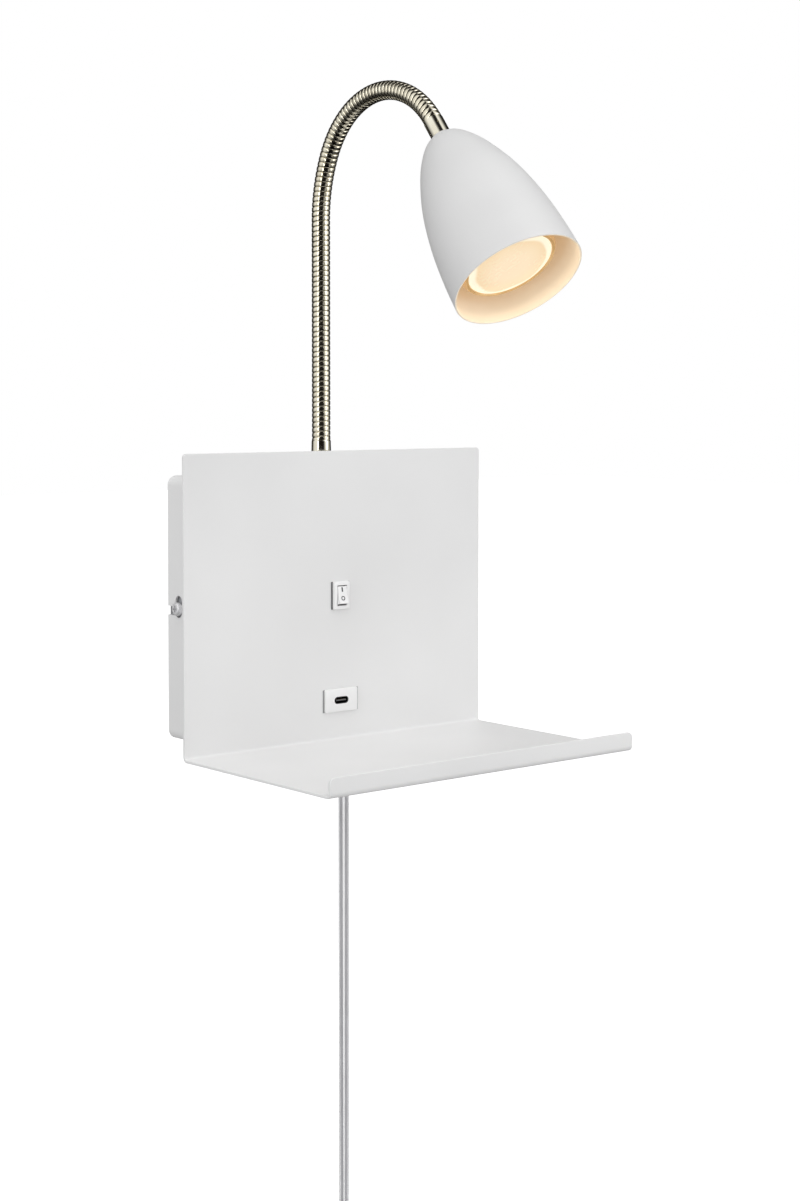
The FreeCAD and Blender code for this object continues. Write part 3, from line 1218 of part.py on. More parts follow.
def holder_bracket():
    """Stamped bracket: a plate on the thread, two legs and two feet for the lamp holder."""
    plate = tube(HOLDER_PLATE_RADIUS, SHADE_THREAD_RADIUS + THREAD_CLEARANCE, HOLDER_SHEET,
                 V(0, 0, PLATE_PLACE), V(0, 0, 1))
    for side in (-1, 1):
        x = sorted((side * HOLDER_PLATE_RADIUS, side * (HOLDER_PLATE_RADIUS - HOLDER_SHEET)))
        leg = block(x, centred(HOLDER_LEG_WIDTH), (PLATE_PLACE, HOLDER_PLACE))
        foot_x = sorted((x[0] if side > 0 else x[1], side * HOLDER_FOOT_RADIUS))
        foot = block(foot_x, centred(HOLDER_LEG_WIDTH), (HOLDER_PLACE - HOLDER_SHEET, HOLDER_PLACE))
        hole = rod(HOLDER_SCREW_RADIUS + THREAD_CLEARANCE, 3 * HOLDER_SHEET,
                   V(side * HOLDER_FIXING_SPACING / 2, 0, HOLDER_PLACE - 2 * HOLDER_SHEET), V(0, 0, 1))
        plate = plate.fuse(leg).fuse(foot).cut(hole)
    return in_head(plate)


def pin_slot(side, radius, start, end):
    """Kidney-shaped bar that a lamp pin sweeps, from its locked place to its free place."""
    middle = PIN_SPACING / 2

    def point(distance, degrees):
        turn = math.radians(degrees + side)
        return V(distance * math.cos(turn), distance * math.sin(turn), start)

    def cap(degrees, past):
        centre = point(middle, degrees)
        outward = V(0, 0, past).cross(centre - V(0, 0, start)).normalize()
        ends = point(middle + radius, degrees), point(middle - radius, degrees)
        return Part.Arc(ends[0], centre + outward * radius, ends[1]).toShape()

    edges = [cap(0, -1), cap(LAMP_TWIST, 1)]
    for distance in (middle - radius, middle + radius):
        stops = [point(distance, share * LAMP_TWIST) for share in (0, 0.5, 1)]
        edges.append(Part.Arc(*stops).toShape())
    outline = Part.Wire(Part.__sortEdges__(edges))
    return Part.Face(outline).extrude(V(0, 0, end - start))


def holder_face():
    """Place of the face that the lamp stands on."""
    return HOLDER_PLACE + HOLDER_LENGTH


def lamp_holder():
    """Ceramic holder with two bayonet slots, a contact well behind and two fixing holes."""
    face = holder_face()
    body = head_rod(HOLDER_RADIUS, HOLDER_PLACE, face)
    neck = PIN_RADIUS + PIN_SLOT_CLEARANCE
    head = PIN_HEAD_RADIUS + PIN_SLOT_CLEARANCE
    shelf = face - PIN_LENGTH + PIN_HEAD_LENGTH + LAMP_SEAT_GAP + PIN_SLOT_CLEARANCE
    floor = face - PIN_LENGTH - CONTACT_WELL_DEPTH
    for side in (0, 180):
        body = body.cut(pin_slot(side, head, floor, shelf))
        body = body.cut(pin_slot(side, neck, shelf, face))
        free = math.radians(side + LAMP_TWIST)
        mouth = V(math.cos(free), math.sin(free), 0) * (PIN_SPACING / 2) + V(0, 0, shelf)
        body = body.cut(rod(head, face - shelf, mouth, V(0, 0, 1)))
        locked = math.radians(side)
        passage = V(math.cos(locked), math.sin(locked), 0) * (PIN_SPACING / 2) + V(0, 0, HOLDER_PLACE)
        body = body.cut(rod(CONTACT_PASSAGE_RADIUS, floor - HOLDER_PLACE, passage, V(0, 0, 1)))
    for side in (-1, 1):
        foot = V(side * HOLDER_FIXING_SPACING / 2, 0, HOLDER_PLACE)
        body = body.cut(rod(HOLDER_SCREW_RADIUS + THREAD_CLEARANCE, HOLDER_LENGTH, foot, V(0, 0, 1)))
        sink = HOLDER_SCREW_HEAD_HEIGHT + HOLDER_SCREW_SINK
        well = HOLDER_SCREW_HEAD_RADIUS + HOLDER_SCREW_WELL_GAP
        body = body.cut(rod(well, sink, foot + V(0, 0, HOLDER_LENGTH - sink), V(0, 0, 1)))
    return in_head(body)


def holder_contacts():
    """Spring leaves under the pins, each with a stem that leaves through the back."""
    leaves = []
    leaf_foot = holder_face() - PIN_LENGTH + LAMP_SEAT_GAP - CONTACT_LEAF_GAP - CONTACT_LEAF_SHEET
    for x in centred(PIN_SPACING):
        leaf = rod(PIN_HEAD_RADIUS, CONTACT_LEAF_SHEET, V(x, 0, leaf_foot), V(0, 0, 1))
        stem = rod(CONTACT_STEM_RADIUS, leaf_foot - HOLDER_PLACE, V(x, 0, HOLDER_PLACE), V(0, 0, 1))
        leaves.append(in_head(leaf.fuse(stem)))
    return leaves


def holder_screws():
    """Screws from the lamp side through the holder into the bracket feet."""
    screws = []
    seat = holder_face() - HOLDER_SCREW_HEAD_HEIGHT - HOLDER_SCREW_SINK
    end = HOLDER_PLACE - HOLDER_SHEET - HOLDER_SCREW_PAST_FOOT
    top = seat + HOLDER_SCREW_HEAD_HEIGHT
    for x in centred(HOLDER_FIXING_SPACING):
        shank = rod(HOLDER_SCREW_RADIUS, seat - end, V(x, 0, end), V(0, 0, 1))
        head = rod(HOLDER_SCREW_HEAD_RADIUS, HOLDER_SCREW_HEAD_HEIGHT, V(x, 0, seat), V(0, 0, 1))
        slot = block(centred(2 * HOLDER_SCREW_HEAD_RADIUS, x), centred(HOLDER_SCREW_SLOT),
                     (top - HOLDER_SCREW_SLOT, top))
        screws.append(in_head(shank.fuse(head).cut(slot)))
    return screws


def lamp_wires():
    """Two wires from the end of the cable to the holder's contacts."""
    wires = []
    for near, far in zip(centred(LAMP_WIRE_PITCH), centred(PIN_SPACING)):
        route = [V(near, 0, CABLE_PAST_HOSE), V(near, 0, CABLE_PAST_HOSE + 1.5),
                 V(far, 0, HOLDER_PLACE - 1.8), V(far, 0, HOLDER_PLACE)]
        wires.append(in_head(bent_tube(route, LAMP_WIRE_RADIUS)))
    return wires


# ---------------------------------------------------------------- lamp
def lamp_base():
    """Cap that carries the pins."""
    base = head_rod(LAMP_BASE_RADIUS, LAMP_PLACE, LAMP_PLACE + LAMP_BASE_LENGTH)
    rim = [e for e in base.Edges if isinstance(e.Curve, Part.Circle) and e.CenterOfMass.z < LAMP_PLACE + 0.01]
    base = base.makeFillet(LAMP_BASE_ROUND, rim)
    for x in centred(PIN_SPACING):
        base = base.cut(rod(PIN_RADIUS, PIN_SINK, V(x, 0, LAMP_PLACE), V(0, 0, 1)))
    return in_head(base)


def lamp_pins():
    """Two headed pins of the twist lock."""
    pins = []
    for x in centred(PIN_SPACING):
        stem = rod(PIN_RADIUS, PIN_LENGTH + PIN_SINK, V(x, 0, LAMP_PLACE - PIN_LENGTH), V(0, 0, 1))
        head = rod(PIN_HEAD_RADIUS, PIN_HEAD_LENGTH, V(x, 0, LAMP_PLACE - PIN_LENGTH), V(0, 0, 1))
        pins.append(in_head(stem.fuse(head)))
    return pins


def lamp_front():
    """Place of the lamp's front rim."""
    return LAMP_PLACE + LAMP_LENGTH


def lamp_body():
    """Reflector body: a cone from the base to a stepped rim, hollow towards the lens."""
    start, front = LAMP_PLACE + LAMP_BASE_LENGTH, lamp_front()
    cylinder_start = front - LAMP_RIM_LENGTH
    points = [
        V(0, 0, start), V(LAMP_BASE_RADIUS, 0, start),
        V(LAMP_RIM_RADIUS - LAMP_STEP, 0, cylinder_start), V(LAMP_RIM_RADIUS, 0, cylinder_start),
        V(LAMP_RIM_RADIUS, 0, front - LAMP_STEP), V(LAMP_RIM_RADIUS - LAMP_STEP, 0, front - LAMP_STEP),
        V(LAMP_RIM_RADIUS - LAMP_STEP, 0, front), V(LENS_RADIUS, 0, front),
        V(LENS_RADIUS, 0, front - LENS_EDGE), V(LENS_RADIUS - LAMP_WALL, 0, front - LENS_EDGE),
        V(LAMP_BASE_RADIUS - LAMP_WALL, 0, start + 2 * LAMP_WALL),
        V(0, 0, start + 2 * LAMP_WALL), V(0, 0, start),
    ]
    return in_head(revolved(Part.makePolygon(points).Edges))


def lamp_lens():
    """Lens that sits in the rim, slightly crowned."""
    radius = LENS_RADIUS - LENS_FIT
    rear = lamp_front() - LENS_EDGE + LENS_SEAT_GAP
    top = lamp_front() - LENS_SET_BACK + LENS_CROWN
    crown = (radius ** 2 + LENS_CROWN ** 2) / (2 * LENS_CROWN)
    disc = head_rod(radius, rear, top)
    return in_head(disc.common(Part.makeSphere(crown, V(0, 0, top - crown))))


# ---------------------------------------------------------------- write the sub-parts
def main():
    """Build and export every sub-part."""
    os.makedirs("parts", exist_ok=True)
    makers = (
        wall_bracket, side_screws, back_box, shelf_panel, panel_nuts,
        switch_housing, rocker_button, switch_plunger, switch_contact, switch_terminals,
        usb_bezel, usb_shell, usb_tongue, charger_case, charger_board,
        terminal_block, terminal_screws, internal_wires, cord_grip,
        cord_tube, cord_coil, cord_tie, cord_tail, plug_body, plug_pins, plug_sleeves,
        neck_ferrule, neck_washer, neck_nut,
        end_ferrule, shade, shade_spacer, shade_nut, holder_bracket,
        lamp_holder, holder_contacts, holder_screws, lamp_wires,
        lamp_base, lamp_pins, lamp_body, lamp_lens,
    )
    for maker in makers:
        export(maker.__name__, maker())
    for number in range(PIVOTS + 1):
        export("hose_link_%d" % number, hose_link(number))
        export("hose_cable_%d" % number, hose_cable(number))


main()
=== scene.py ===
"""Dressed wall lamp: folded steel shelf, gooseneck, bullet shade, lit twist-lock lamp and USB-C socket.

Metres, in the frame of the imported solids. The origin lies on the wall at the middle of the back box:
+X to the right, +Y into the wall, +Z up. The front of the lamp faces -Y.
"""

import logging
import math
from dataclasses import dataclass
from enum import Enum
from typing import Iterable, Sequence

import bmesh
import bpy
from mathutils import Matrix, Vector


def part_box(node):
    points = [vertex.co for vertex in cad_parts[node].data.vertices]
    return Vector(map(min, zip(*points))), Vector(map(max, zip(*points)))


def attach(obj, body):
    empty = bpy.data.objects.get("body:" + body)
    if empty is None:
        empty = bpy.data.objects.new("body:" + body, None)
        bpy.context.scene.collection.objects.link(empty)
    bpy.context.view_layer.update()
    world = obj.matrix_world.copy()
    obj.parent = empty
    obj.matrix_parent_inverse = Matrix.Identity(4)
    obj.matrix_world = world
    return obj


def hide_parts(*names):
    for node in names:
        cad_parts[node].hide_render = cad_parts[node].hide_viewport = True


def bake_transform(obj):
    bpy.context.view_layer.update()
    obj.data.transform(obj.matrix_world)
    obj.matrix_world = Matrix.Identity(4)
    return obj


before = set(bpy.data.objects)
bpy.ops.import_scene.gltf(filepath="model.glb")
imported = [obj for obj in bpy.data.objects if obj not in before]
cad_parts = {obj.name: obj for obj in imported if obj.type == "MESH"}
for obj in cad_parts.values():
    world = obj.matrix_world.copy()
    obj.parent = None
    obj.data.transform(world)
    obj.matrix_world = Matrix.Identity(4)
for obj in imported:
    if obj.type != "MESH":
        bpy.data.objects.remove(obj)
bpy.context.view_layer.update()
LOG = logging.getLogger("wall_lamp")
Pair = tuple[float, float]
Triple = tuple[float, float, float]
Colour = Triple
Link = tuple[bpy.types.Node, str | int, bpy.types.Node, str | int]


# ---------------------------------------------------------------- shared helpers
def add_nodes(tree: bpy.types.NodeTree, *kinds: str) -> list[bpy.types.Node]:
    """Add nodes, each named by its kind without the ShaderNode in front."""
    return [tree.nodes.new(f"ShaderNode{kind}") for kind in kinds]


def set_inputs(node: bpy.types.Node, values: dict[str | int, object]) -> None:
    """Set inputs of a node, each found by its name or number."""
    for socket, value in values.items():
        node.inputs[socket].default_value = value


def link_nodes(tree: bpy.types.NodeTree, *links: Link) -> None:
    """Link sockets, each pair given as a node and its output, then a node and its input."""
    for source, output, target, entry in links:
        tree.links.new(source.outputs[output], target.inputs[entry])


def fill_ramp(ramp: bpy.types.ColorRamp, stops: Sequence[tuple[float, Colour]]) -> None:
    """Give a fresh colour ramp its stops.

    Args:
        ramp: The ramp, with its first two stops.
        stops: Place and colour of each stop, in order.
    """
    for stop, (at, colour) in zip(ramp.elements, (stops[0], stops[-1])):
        stop.position, stop.color = at, (*colour, 1.0)
    for at, colour in stops[1:-1]:
        ramp.elements.new(at).color = (*colour, 1.0)


def settle(mesh: bmesh.types.BMesh, name: str) -> bpy.types.Mesh:
    """Write a bmesh to new mesh data and free it.

    Args:
        mesh: The bmesh.
        name: Name of the data.

    Returns:
        The data.
    """
    data = bpy.data.meshes.new(name)
    mesh.to_mesh(data)
    mesh.free()
    return data


def show(name: str, data: bpy.types.ID) -> bpy.types.Object:
    """Put data into the scene as an object.

    Args:
        name: Name of the object.
        data: Its mesh, curve, light or camera.

    Returns:
        The object.
    """
    made = bpy.data.objects.new(name, data)
    bpy.context.scene.collection.objects.link(made)
    return made


# ---------------------------------------------------------------- shader groups
class Grain(Enum):
    """Kinds of fine surface that a finish can have, each a stretch of the grain along X, Y and Z."""

    EVEN = (1.0, 1.0, 1.0)
    DRAWN_ALONG_X = (0.06, 1.0, 1.0)
    TURNED = (0.25, 1.0, 1.0)


class GroupMaker:
    """Builds the shader node groups that the finishes share, once each."""

    @staticmethod
    def start(name: str, inputs: dict[str, tuple[str, object]],
              outputs: dict[str, str]) -> tuple[bpy.types.NodeTree, bpy.types.Node, bpy.types.Node]:
        """Make a group that has its sockets and nothing else.

        Args:
            name: Name of the group.
            inputs: Kind and usual value of each input.
            outputs: Kind of each output.

        Returns:
            The tree, its input node and its output node.
        """
        tree = bpy.data.node_groups.new(name, "ShaderNodeTree")
        for socket, (kind, usual) in inputs.items():
            made = tree.interface.new_socket(socket, in_out="INPUT", socket_type=f"NodeSocket{kind}")
            made.default_value = usual
        for socket, kind in outputs.items():
            tree.interface.new_socket(socket, in_out="OUTPUT", socket_type=f"NodeSocket{kind}")
        return tree, tree.nodes.new("NodeGroupInput"), tree.nodes.new("NodeGroupOutput")

    @classmethod
    def surface_grain(cls) -> bpy.types.NodeTree:
        """Fine relief with matching roughness: a tight grain over slow, wide patches.

        Returns:
            The group, with outputs Height, Mask and Roughness.
        """
        if "surface_grain" in bpy.data.node_groups:
            return bpy.data.node_groups["surface_grain"]
        tree, entry, leave = cls.start(
            "surface_grain",
            {"Vector": ("Vector", (0, 0, 0)), "Scale": ("Float", 900.0), "Patches": ("Float", 25.0),
             "Low": ("Float", 0.4), "High": ("Float", 0.5), "Stretch": ("Vector", (1, 1, 1))},
            {"Height": "Float", "Mask": "Float", "Roughness": "Float"})
        pull, fine, wide, blend, spread = add_nodes(
            tree, "VectorMath", "TexNoise", "TexNoise", "Math", "MapRange")
        pull.operation, blend.operation = "MULTIPLY", "MULTIPLY_ADD"
        fine_share = 0.55
        set_inputs(fine, {"Detail": 3.0})
        set_inputs(wide, {"Detail": 2.0})
        set_inputs(blend, {1: fine_share})
        set_inputs(spread, {"From Min": 0.45, "From Max": 1.1})
        link_nodes(tree, (entry, "Vector", pull, 0), (entry, "Stretch", pull, 1), (pull, 0, fine, "Vector"),
                   (entry, "Scale", fine, "Scale"), (entry, "Vector", wide, "Vector"),
                   (entry, "Patches", wide, "Scale"), (fine, "Fac", blend, 0), (wide, "Fac", blend, 2),
                   (blend, 0, spread, "Value"), (entry, "Low", spread, "To Min"),
                   (entry, "High", spread, "To Max"),
                   (fine, "Fac", leave, "Height"), (wide, "Fac", leave, "Mask"), (spread, 0, leave, "Roughness"))
        return tree

    @classmethod
    def two_tone(cls) -> bpy.types.NodeTree:
        """Colour that drifts between two close tones with a mask.

        Returns:
            The group, with the output Colour.
        """
        if "two_tone" in bpy.data.node_groups:
            return bpy.data.node_groups["two_tone"]
        grey = (0.8, 0.8, 0.8, 1.0)
        tree, entry, leave = cls.start(
            "two_tone", {"Mask": ("Float", 0.0), "Tone": ("Color", grey), "Other Tone": ("Color", grey)},
            {"Colour": "Color"})
        spread, mix = add_nodes(tree, "MapRange", "Mix")
        mix.data_type = "RGBA"
        set_inputs(spread, {"From Min": 0.35, "From Max": 0.65})
        link_nodes(tree, (entry, "Mask", spread, "Value"), (spread, 0, mix, "Factor"), (entry, "Tone", mix, "A"),
                   (entry, "Other Tone", mix, "B"), (mix, "Result", leave, "Colour"))
        return tree


# ---------------------------------------------------------------- finishes
@dataclass(frozen=True)
class Finish:
    """One surface finish, as a node material with grain, two close tones and its own gloss.

    Attributes:
        name: Name of the material.
        slot: Material slot of the record that it belongs to.
        colour: Linear colour of the surface.
        other: Second tone that the first drifts to, or None for a slightly darker one.
        rough: Lowest and highest roughness.
        metallic: 1 for bare metal.
        scale: Grains in each metre.
        patches: Slow patches in each metre.
        depth: Height of the grain in metres.
        grain: Kind of grain.
        coat: Weight of a clear coat.
        ior: Index of refraction.
        glow: Colour of its own light, or None.
        glow_strength: Strength of that light.
    """

    name: str
    slot: str
    colour: Colour
    other: Colour | None = None
    rough: Pair = (0.4, 0.5)
    metallic: float = 0.0
    scale: float = 2600.0
    patches: float = 25.0
    depth: float = 0.000004
    grain: Grain = Grain.EVEN
    coat: float = 0.0
    ior: float = 1.46
    glow: Colour | None = None
    glow_strength: float = 0.0

    def material(self) -> bpy.types.Material:
        """Build the material, or find it if it was built before.

        Returns:
            The material.
        """
        if self.name in bpy.data.materials:
            return bpy.data.materials[self.name]
        made = bpy.data.materials.new(self.name)
        made.use_nodes = True
        tree, darker = made.node_tree, 0.94
        shader = tree.nodes["Principled BSDF"]
        other = self.other or tuple(part * darker for part in self.colour)
        place, grain, tone, bump = add_nodes(tree, "TexCoord", "Group", "Group", "Bump")
        grain.node_tree, tone.node_tree = GroupMaker.surface_grain(), GroupMaker.two_tone()
        set_inputs(grain, {"Scale": self.scale, "Patches": self.patches, "Low": self.rough[0],
                           "High": self.rough[1], "Stretch": self.grain.value})
        set_inputs(tone, {"Tone": (*self.colour, 1.0), "Other Tone": (*other, 1.0)})
        set_inputs(bump, {"Distance": self.depth})
        set_inputs(shader, {"Metallic": self.metallic, "Coat Weight": self.coat, "Coat Roughness": 0.08,
                            "IOR": self.ior})
        if self.glow:
            set_inputs(shader, {"Emission Color": (*self.glow, 1.0), "Emission Strength": self.glow_strength})
        link_nodes(tree, (place, "Object", grain, "Vector"), (grain, "Mask", tone, "Mask"),
                   (grain, "Height", bump, "Height"), (tone, "Colour", shader, "Base Color"),
                   (grain, "Roughness", shader, "Roughness"), (bump, "Normal", shader, "Normal"))
        self.refine(tree, shader)
        return made

    def refine(self, tree: bpy.types.NodeTree, shader: bpy.types.Node) -> None:
        """Add what this kind of finish has beyond a plain one, which has nothing more."""


@dataclass(frozen=True)
class LensGlowAndPaintedLight(Finish):
    """Mottled glow that changes with the distance from the lens: the lens's own light, and painted lamp light in
    the shade.

    Attributes:
        middle: Middle of the lens.
        radius: Distance at which the last tone is reached.
        mottle: Facets across the radius, and how far they shift the tones.
        tones: Share of the radius and colour of the light there, from the outside in.
    """

    middle: Triple = (0.0, 0.0, 0.0)
    radius: float = 0.022
    mottle: Pair = (1.9, 0.16)
    tones: tuple[tuple[float, Colour], ...] = ()

    def refine(self, tree: bpy.types.NodeTree, shader: bpy.types.Node) -> None:
        """Let the surface's light follow the tones.

        Args:
            tree: Nodes of the material.
            shader: Its shader.
        """
        place, centre, ball, facets, shift, ramp = add_nodes(
            tree, "TexCoord", "Mapping", "TexGradient", "TexVoronoi", "Math", "ValToRGB")
        centre.vector_type, ball.gradient_type = "TEXTURE", "SPHERICAL"
        facets.feature, shift.operation = "SMOOTH_F1", "MULTIPLY_ADD"
        set_inputs(centre, {"Location": self.middle, "Scale": (self.radius,) * 3})
        set_inputs(facets, {"Scale": self.mottle[0], "Smoothness": 1.0})
        set_inputs(shift, {1: -self.mottle[1]})
        fill_ramp(ramp.color_ramp, self.tones)
        link_nodes(tree, (place, "Object", centre, "Vector"), (centre, "Vector", ball, "Vector"),
                   (centre, "Vector", facets, "Vector"), (facets, "Distance", shift, 0), (ball, "Fac", shift, 2),
                   (shift, 0, ramp, "Fac"), (ramp, "Color", shader, "Emission Color"))


@dataclass(frozen=True)
class ClearFinish(Finish):
    """Clear soft plastic: a thin veil in the middle that grows denser towards the edges.

    Attributes:
        veil: Opacity where the surface faces the eye, and at its edges.
    """

    veil: Pair = (0.3, 0.6)

    def refine(self, tree: bpy.types.NodeTree, shader: bpy.types.Node) -> None:
        """Thin the surface out where it is seen straight on.

        Args:
            tree: Nodes of the material.
            shader: Its shader.
        """
        edge, veil = add_nodes(tree, "LayerWeight", "MapRange")
        set_inputs(edge, {"Blend": 0.35})
        set_inputs(veil, {"To Min": self.veil[0], "To Max": self.veil[1]})
        link_nodes(tree, (edge, "Facing", veil, "Value"), (veil, 0, shader, "Alpha"))


POWDER = Finish("powder_coat_white", "white_powder_coat", (0.8, 0.8, 0.8), rough=(0.52, 0.62), scale=1500.0,
                patches=9.0, depth=0.000012)
SHADE_OUT = Finish("shade_satin_white", "shade_paint", (0.71, 0.71, 0.71), rough=(0.42, 0.5), scale=1800.0,
                   patches=14.0, depth=0.000006)
NICKEL = Finish("polished_antique_nickel", "antique_nickel", (0.76, 0.72, 0.59), (0.68, 0.63, 0.5),
                rough=(0.1, 0.2), metallic=1.0, scale=2400.0, patches=160.0, depth=0.000002)
NICKEL_SLEEVE = Finish("turned_antique_nickel", "antique_nickel", (0.76, 0.73, 0.62), (0.69, 0.65, 0.53),
                       rough=(0.09, 0.17), metallic=1.0, scale=3200.0, patches=120.0, depth=0.000002,
                       grain=Grain.TURNED)
ZINC = Finish("zinc_plate", "zinc_steel", (0.56, 0.57, 0.6), (0.5, 0.5, 0.5), rough=(0.25, 0.42), metallic=1.0,
              scale=700.0, patches=90.0, depth=0.000008, grain=Grain.DRAWN_ALONG_X)
SCREW = Finish("bright_zinc_screw", "bright_screw", (0.84, 0.84, 0.86), (0.76, 0.76, 0.77), rough=(0.36, 0.48),
               metallic=0.45, patches=400.0, depth=0.000006)
PIN_NICKEL = Finish("bright_nickel_pin", "nickel", (0.74, 0.73, 0.7), rough=(0.12, 0.22), metallic=1.0,
                    patches=250.0)
BRASS = Finish("bright_contact_brass", "contact_brass", (0.75, 0.55, 0.22), (0.62, 0.42, 0.15),
               rough=(0.2, 0.34), metallic=1.0, scale=2400.0, patches=200.0)
SOCKET_METAL = Finish("socket_shell_dark", "socket_metal", (0.06, 0.06, 0.065), rough=(0.3, 0.45), metallic=1.0,
                      patches=300.0, depth=0.000003)
WHITE_PLASTIC = Finish("moulded_white", "white_plastic", (0.86, 0.86, 0.86), rough=(0.3, 0.38), patches=60.0)
MARK_GREY = Finish("switch_mark_grey", "white_plastic", (0.03, 0.03, 0.033), scale=3000.0, depth=0.000003)
# Dark grey of the strips beside the switch: a painted shadow of its plate on the panel.
SWITCH_SHADOW_STRIP = Finish("switch_painted_shadow", "white_plastic", (0.15, 0.15, 0.155), rough=(0.45, 0.55))
# Mid grey of the strips beside the socket: a painted shadow of its plate on the panel.
SOCKET_SHADOW_STRIP = Finish("socket_painted_shadow", "white_plastic", (0.3, 0.3, 0.305), rough=(0.45, 0.55))
TONGUE = Finish("socket_tongue", "dark_plastic", (0.09, 0.09, 0.095), rough=(0.35, 0.45), scale=3000.0,
                depth=0.000003)
BLACK_PLASTIC = Finish("moulded_black", "black_plastic", (0.016, 0.016, 0.017), (0.03, 0.03, 0.03),
                       rough=(0.35, 0.5), scale=2200.0, patches=60.0, depth=0.000008)
BOARD = Finish("board_green", "green_board", (0.02, 0.14, 0.05), (0.015, 0.09, 0.035), rough=(0.25, 0.4),
               scale=1600.0, patches=240.0, depth=0.00001)
NYLON = Finish("natural_nylon", "nylon", (0.76, 0.73, 0.64), rough=(0.34, 0.46), scale=1800.0, depth=0.000006)
CERAMIC = Finish("glazed_ceramic", "ceramic", (0.78, 0.74, 0.64), rough=(0.16, 0.28), scale=900.0,
                 depth=0.00001, coat=0.4)
PLUG = Finish("plug_white", "plug_plastic", (0.78, 0.78, 0.77), rough=(0.26, 0.36), scale=2000.0, patches=40.0,
              depth=0.000006)
CLEAR_PVC = ClearFinish("clear_jacket", "clear_pvc", (0.74, 0.74, 0.76), (0.68, 0.68, 0.7), rough=(0.08, 0.16),
                        scale=1400.0, ior=1.5, veil=(0.36, 0.66))
GRIP_PVC = ClearFinish("clear_bush", "clear_pvc", (0.6, 0.6, 0.62), rough=(0.2, 0.3), scale=1400.0,
                       depth=0.000006, ior=1.5, veil=(0.55, 0.8))
STRAND = Finish("conductor_grey", "wire_insulation", (0.56, 0.56, 0.58), (0.44, 0.44, 0.46), rough=(0.3, 0.42),
                scale=900.0, patches=110.0, depth=0.00002)
WIRE_BROWN = Finish("wire_brown", "wire_insulation", (0.13, 0.055, 0.03), rough=(0.3, 0.4), scale=2200.0)
WIRE_BLUE = Finish("wire_blue", "wire_insulation", (0.03, 0.1, 0.36), rough=(0.3, 0.4), scale=2200.0)
CABLE_GREY = Finish("cable_grey", "wire_insulation", (0.42, 0.42, 0.42), scale=1800.0, depth=0.000006)
LAMP_RIM = Finish("lamp_rim_glass", "lamp_glass_body", (0.62, 0.4, 0.17), (0.5, 0.3, 0.12), rough=(0.14, 0.26),
                  scale=900.0, patches=160.0, depth=0.00001, coat=0.5, glow=(1.0, 0.6, 0.25),
                  glow_strength=0.22)


# ---------------------------------------------------------------- mesh helpers
class Piece:
    """Turns a finished bmesh into an object of the scene that moves with its body."""

    @staticmethod
    def make(name: str, mesh: bmesh.types.BMesh, finishes: Finish | Sequence[Finish], body: str | None,
             replaces: Iterable[str] = (), smooth: float = 35.0) -> bpy.types.Object:
        """Write a bmesh to an object, dress it and let it ride.

        Args:
            name: Name of the object.
            mesh: The shape, in place; it is freed.
            finishes: One finish, or one for each material index.
            body: Body that the piece moves with, or None to leave it on no body.
            replaces: Solids that the piece stands for.
            smooth: Sharpest smooth edge, in degrees.

        Returns:
            The new object.
        """
        data = settle(mesh, name)
        data.polygons.foreach_set("use_smooth", [True] * len(data.polygons))
        data.set_sharp_from_angle(angle=math.radians(smooth))
        several = (finishes,) if isinstance(finishes, Finish) else finishes
        for finish in several:
            data.materials.append(finish.material())
        piece = show(name, data)
        if body:
            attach(piece, body)
        if replaces:
            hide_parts(*replaces)
        LOG.info("%s: %d faces on %s", name, len(data.polygons), body or "two bodies")
        return piece

    @staticmethod
    def soften(piece: bpy.types.Object, width: float, segments: int = 3, angle: float = 50.0) -> bpy.types.Object:
        """Round the hard edges of a piece with a bevel modifier.

        Args:
            piece: The piece.
            width: Width of the rounding.
            segments: Steps of the rounding.
            angle: Bluntest edge that is rounded, in degrees.

        Returns:
            The piece.
        """
        bevel = piece.modifiers.new("soft_edges", "BEVEL")
        bevel.width, bevel.segments = width, segments
        bevel.limit_method, bevel.angle_limit = "ANGLE", math.radians(angle)
        bevel.harden_normals = True
        return piece

    @staticmethod
    def carve(piece: bpy.types.Object, cutters: Sequence[bmesh.types.BMesh]) -> None:
        """Cut shapes out of a piece, with every modifier it has so far applied.

        Args:
            piece: The piece to cut.
            cutters: Shapes that are taken away; they are freed.
        """
        tools = []
        for number, cutter in enumerate(cutters):
            tool = show(f"cutter_{number}", settle(cutter, f"cutter_{number}"))
            cut = piece.modifiers.new(f"cut_{number}", "BOOLEAN")
            cut.object, cut.operation, cut.solver = tool, "DIFFERENCE", "EXACT"
            tools.append(tool)
        bpy.context.view_layer.update()
        shown = piece.evaluated_get(bpy.context.evaluated_depsgraph_get())
        old, fresh = piece.data, bpy.data.meshes.new_from_object(shown)
        piece.modifiers.clear()
        piece.data = fresh
        bpy.data.meshes.remove(old)
        for tool in tools:
            data = tool.data
            bpy.data.objects.remove(tool)
            bpy.data.meshes.remove(data)


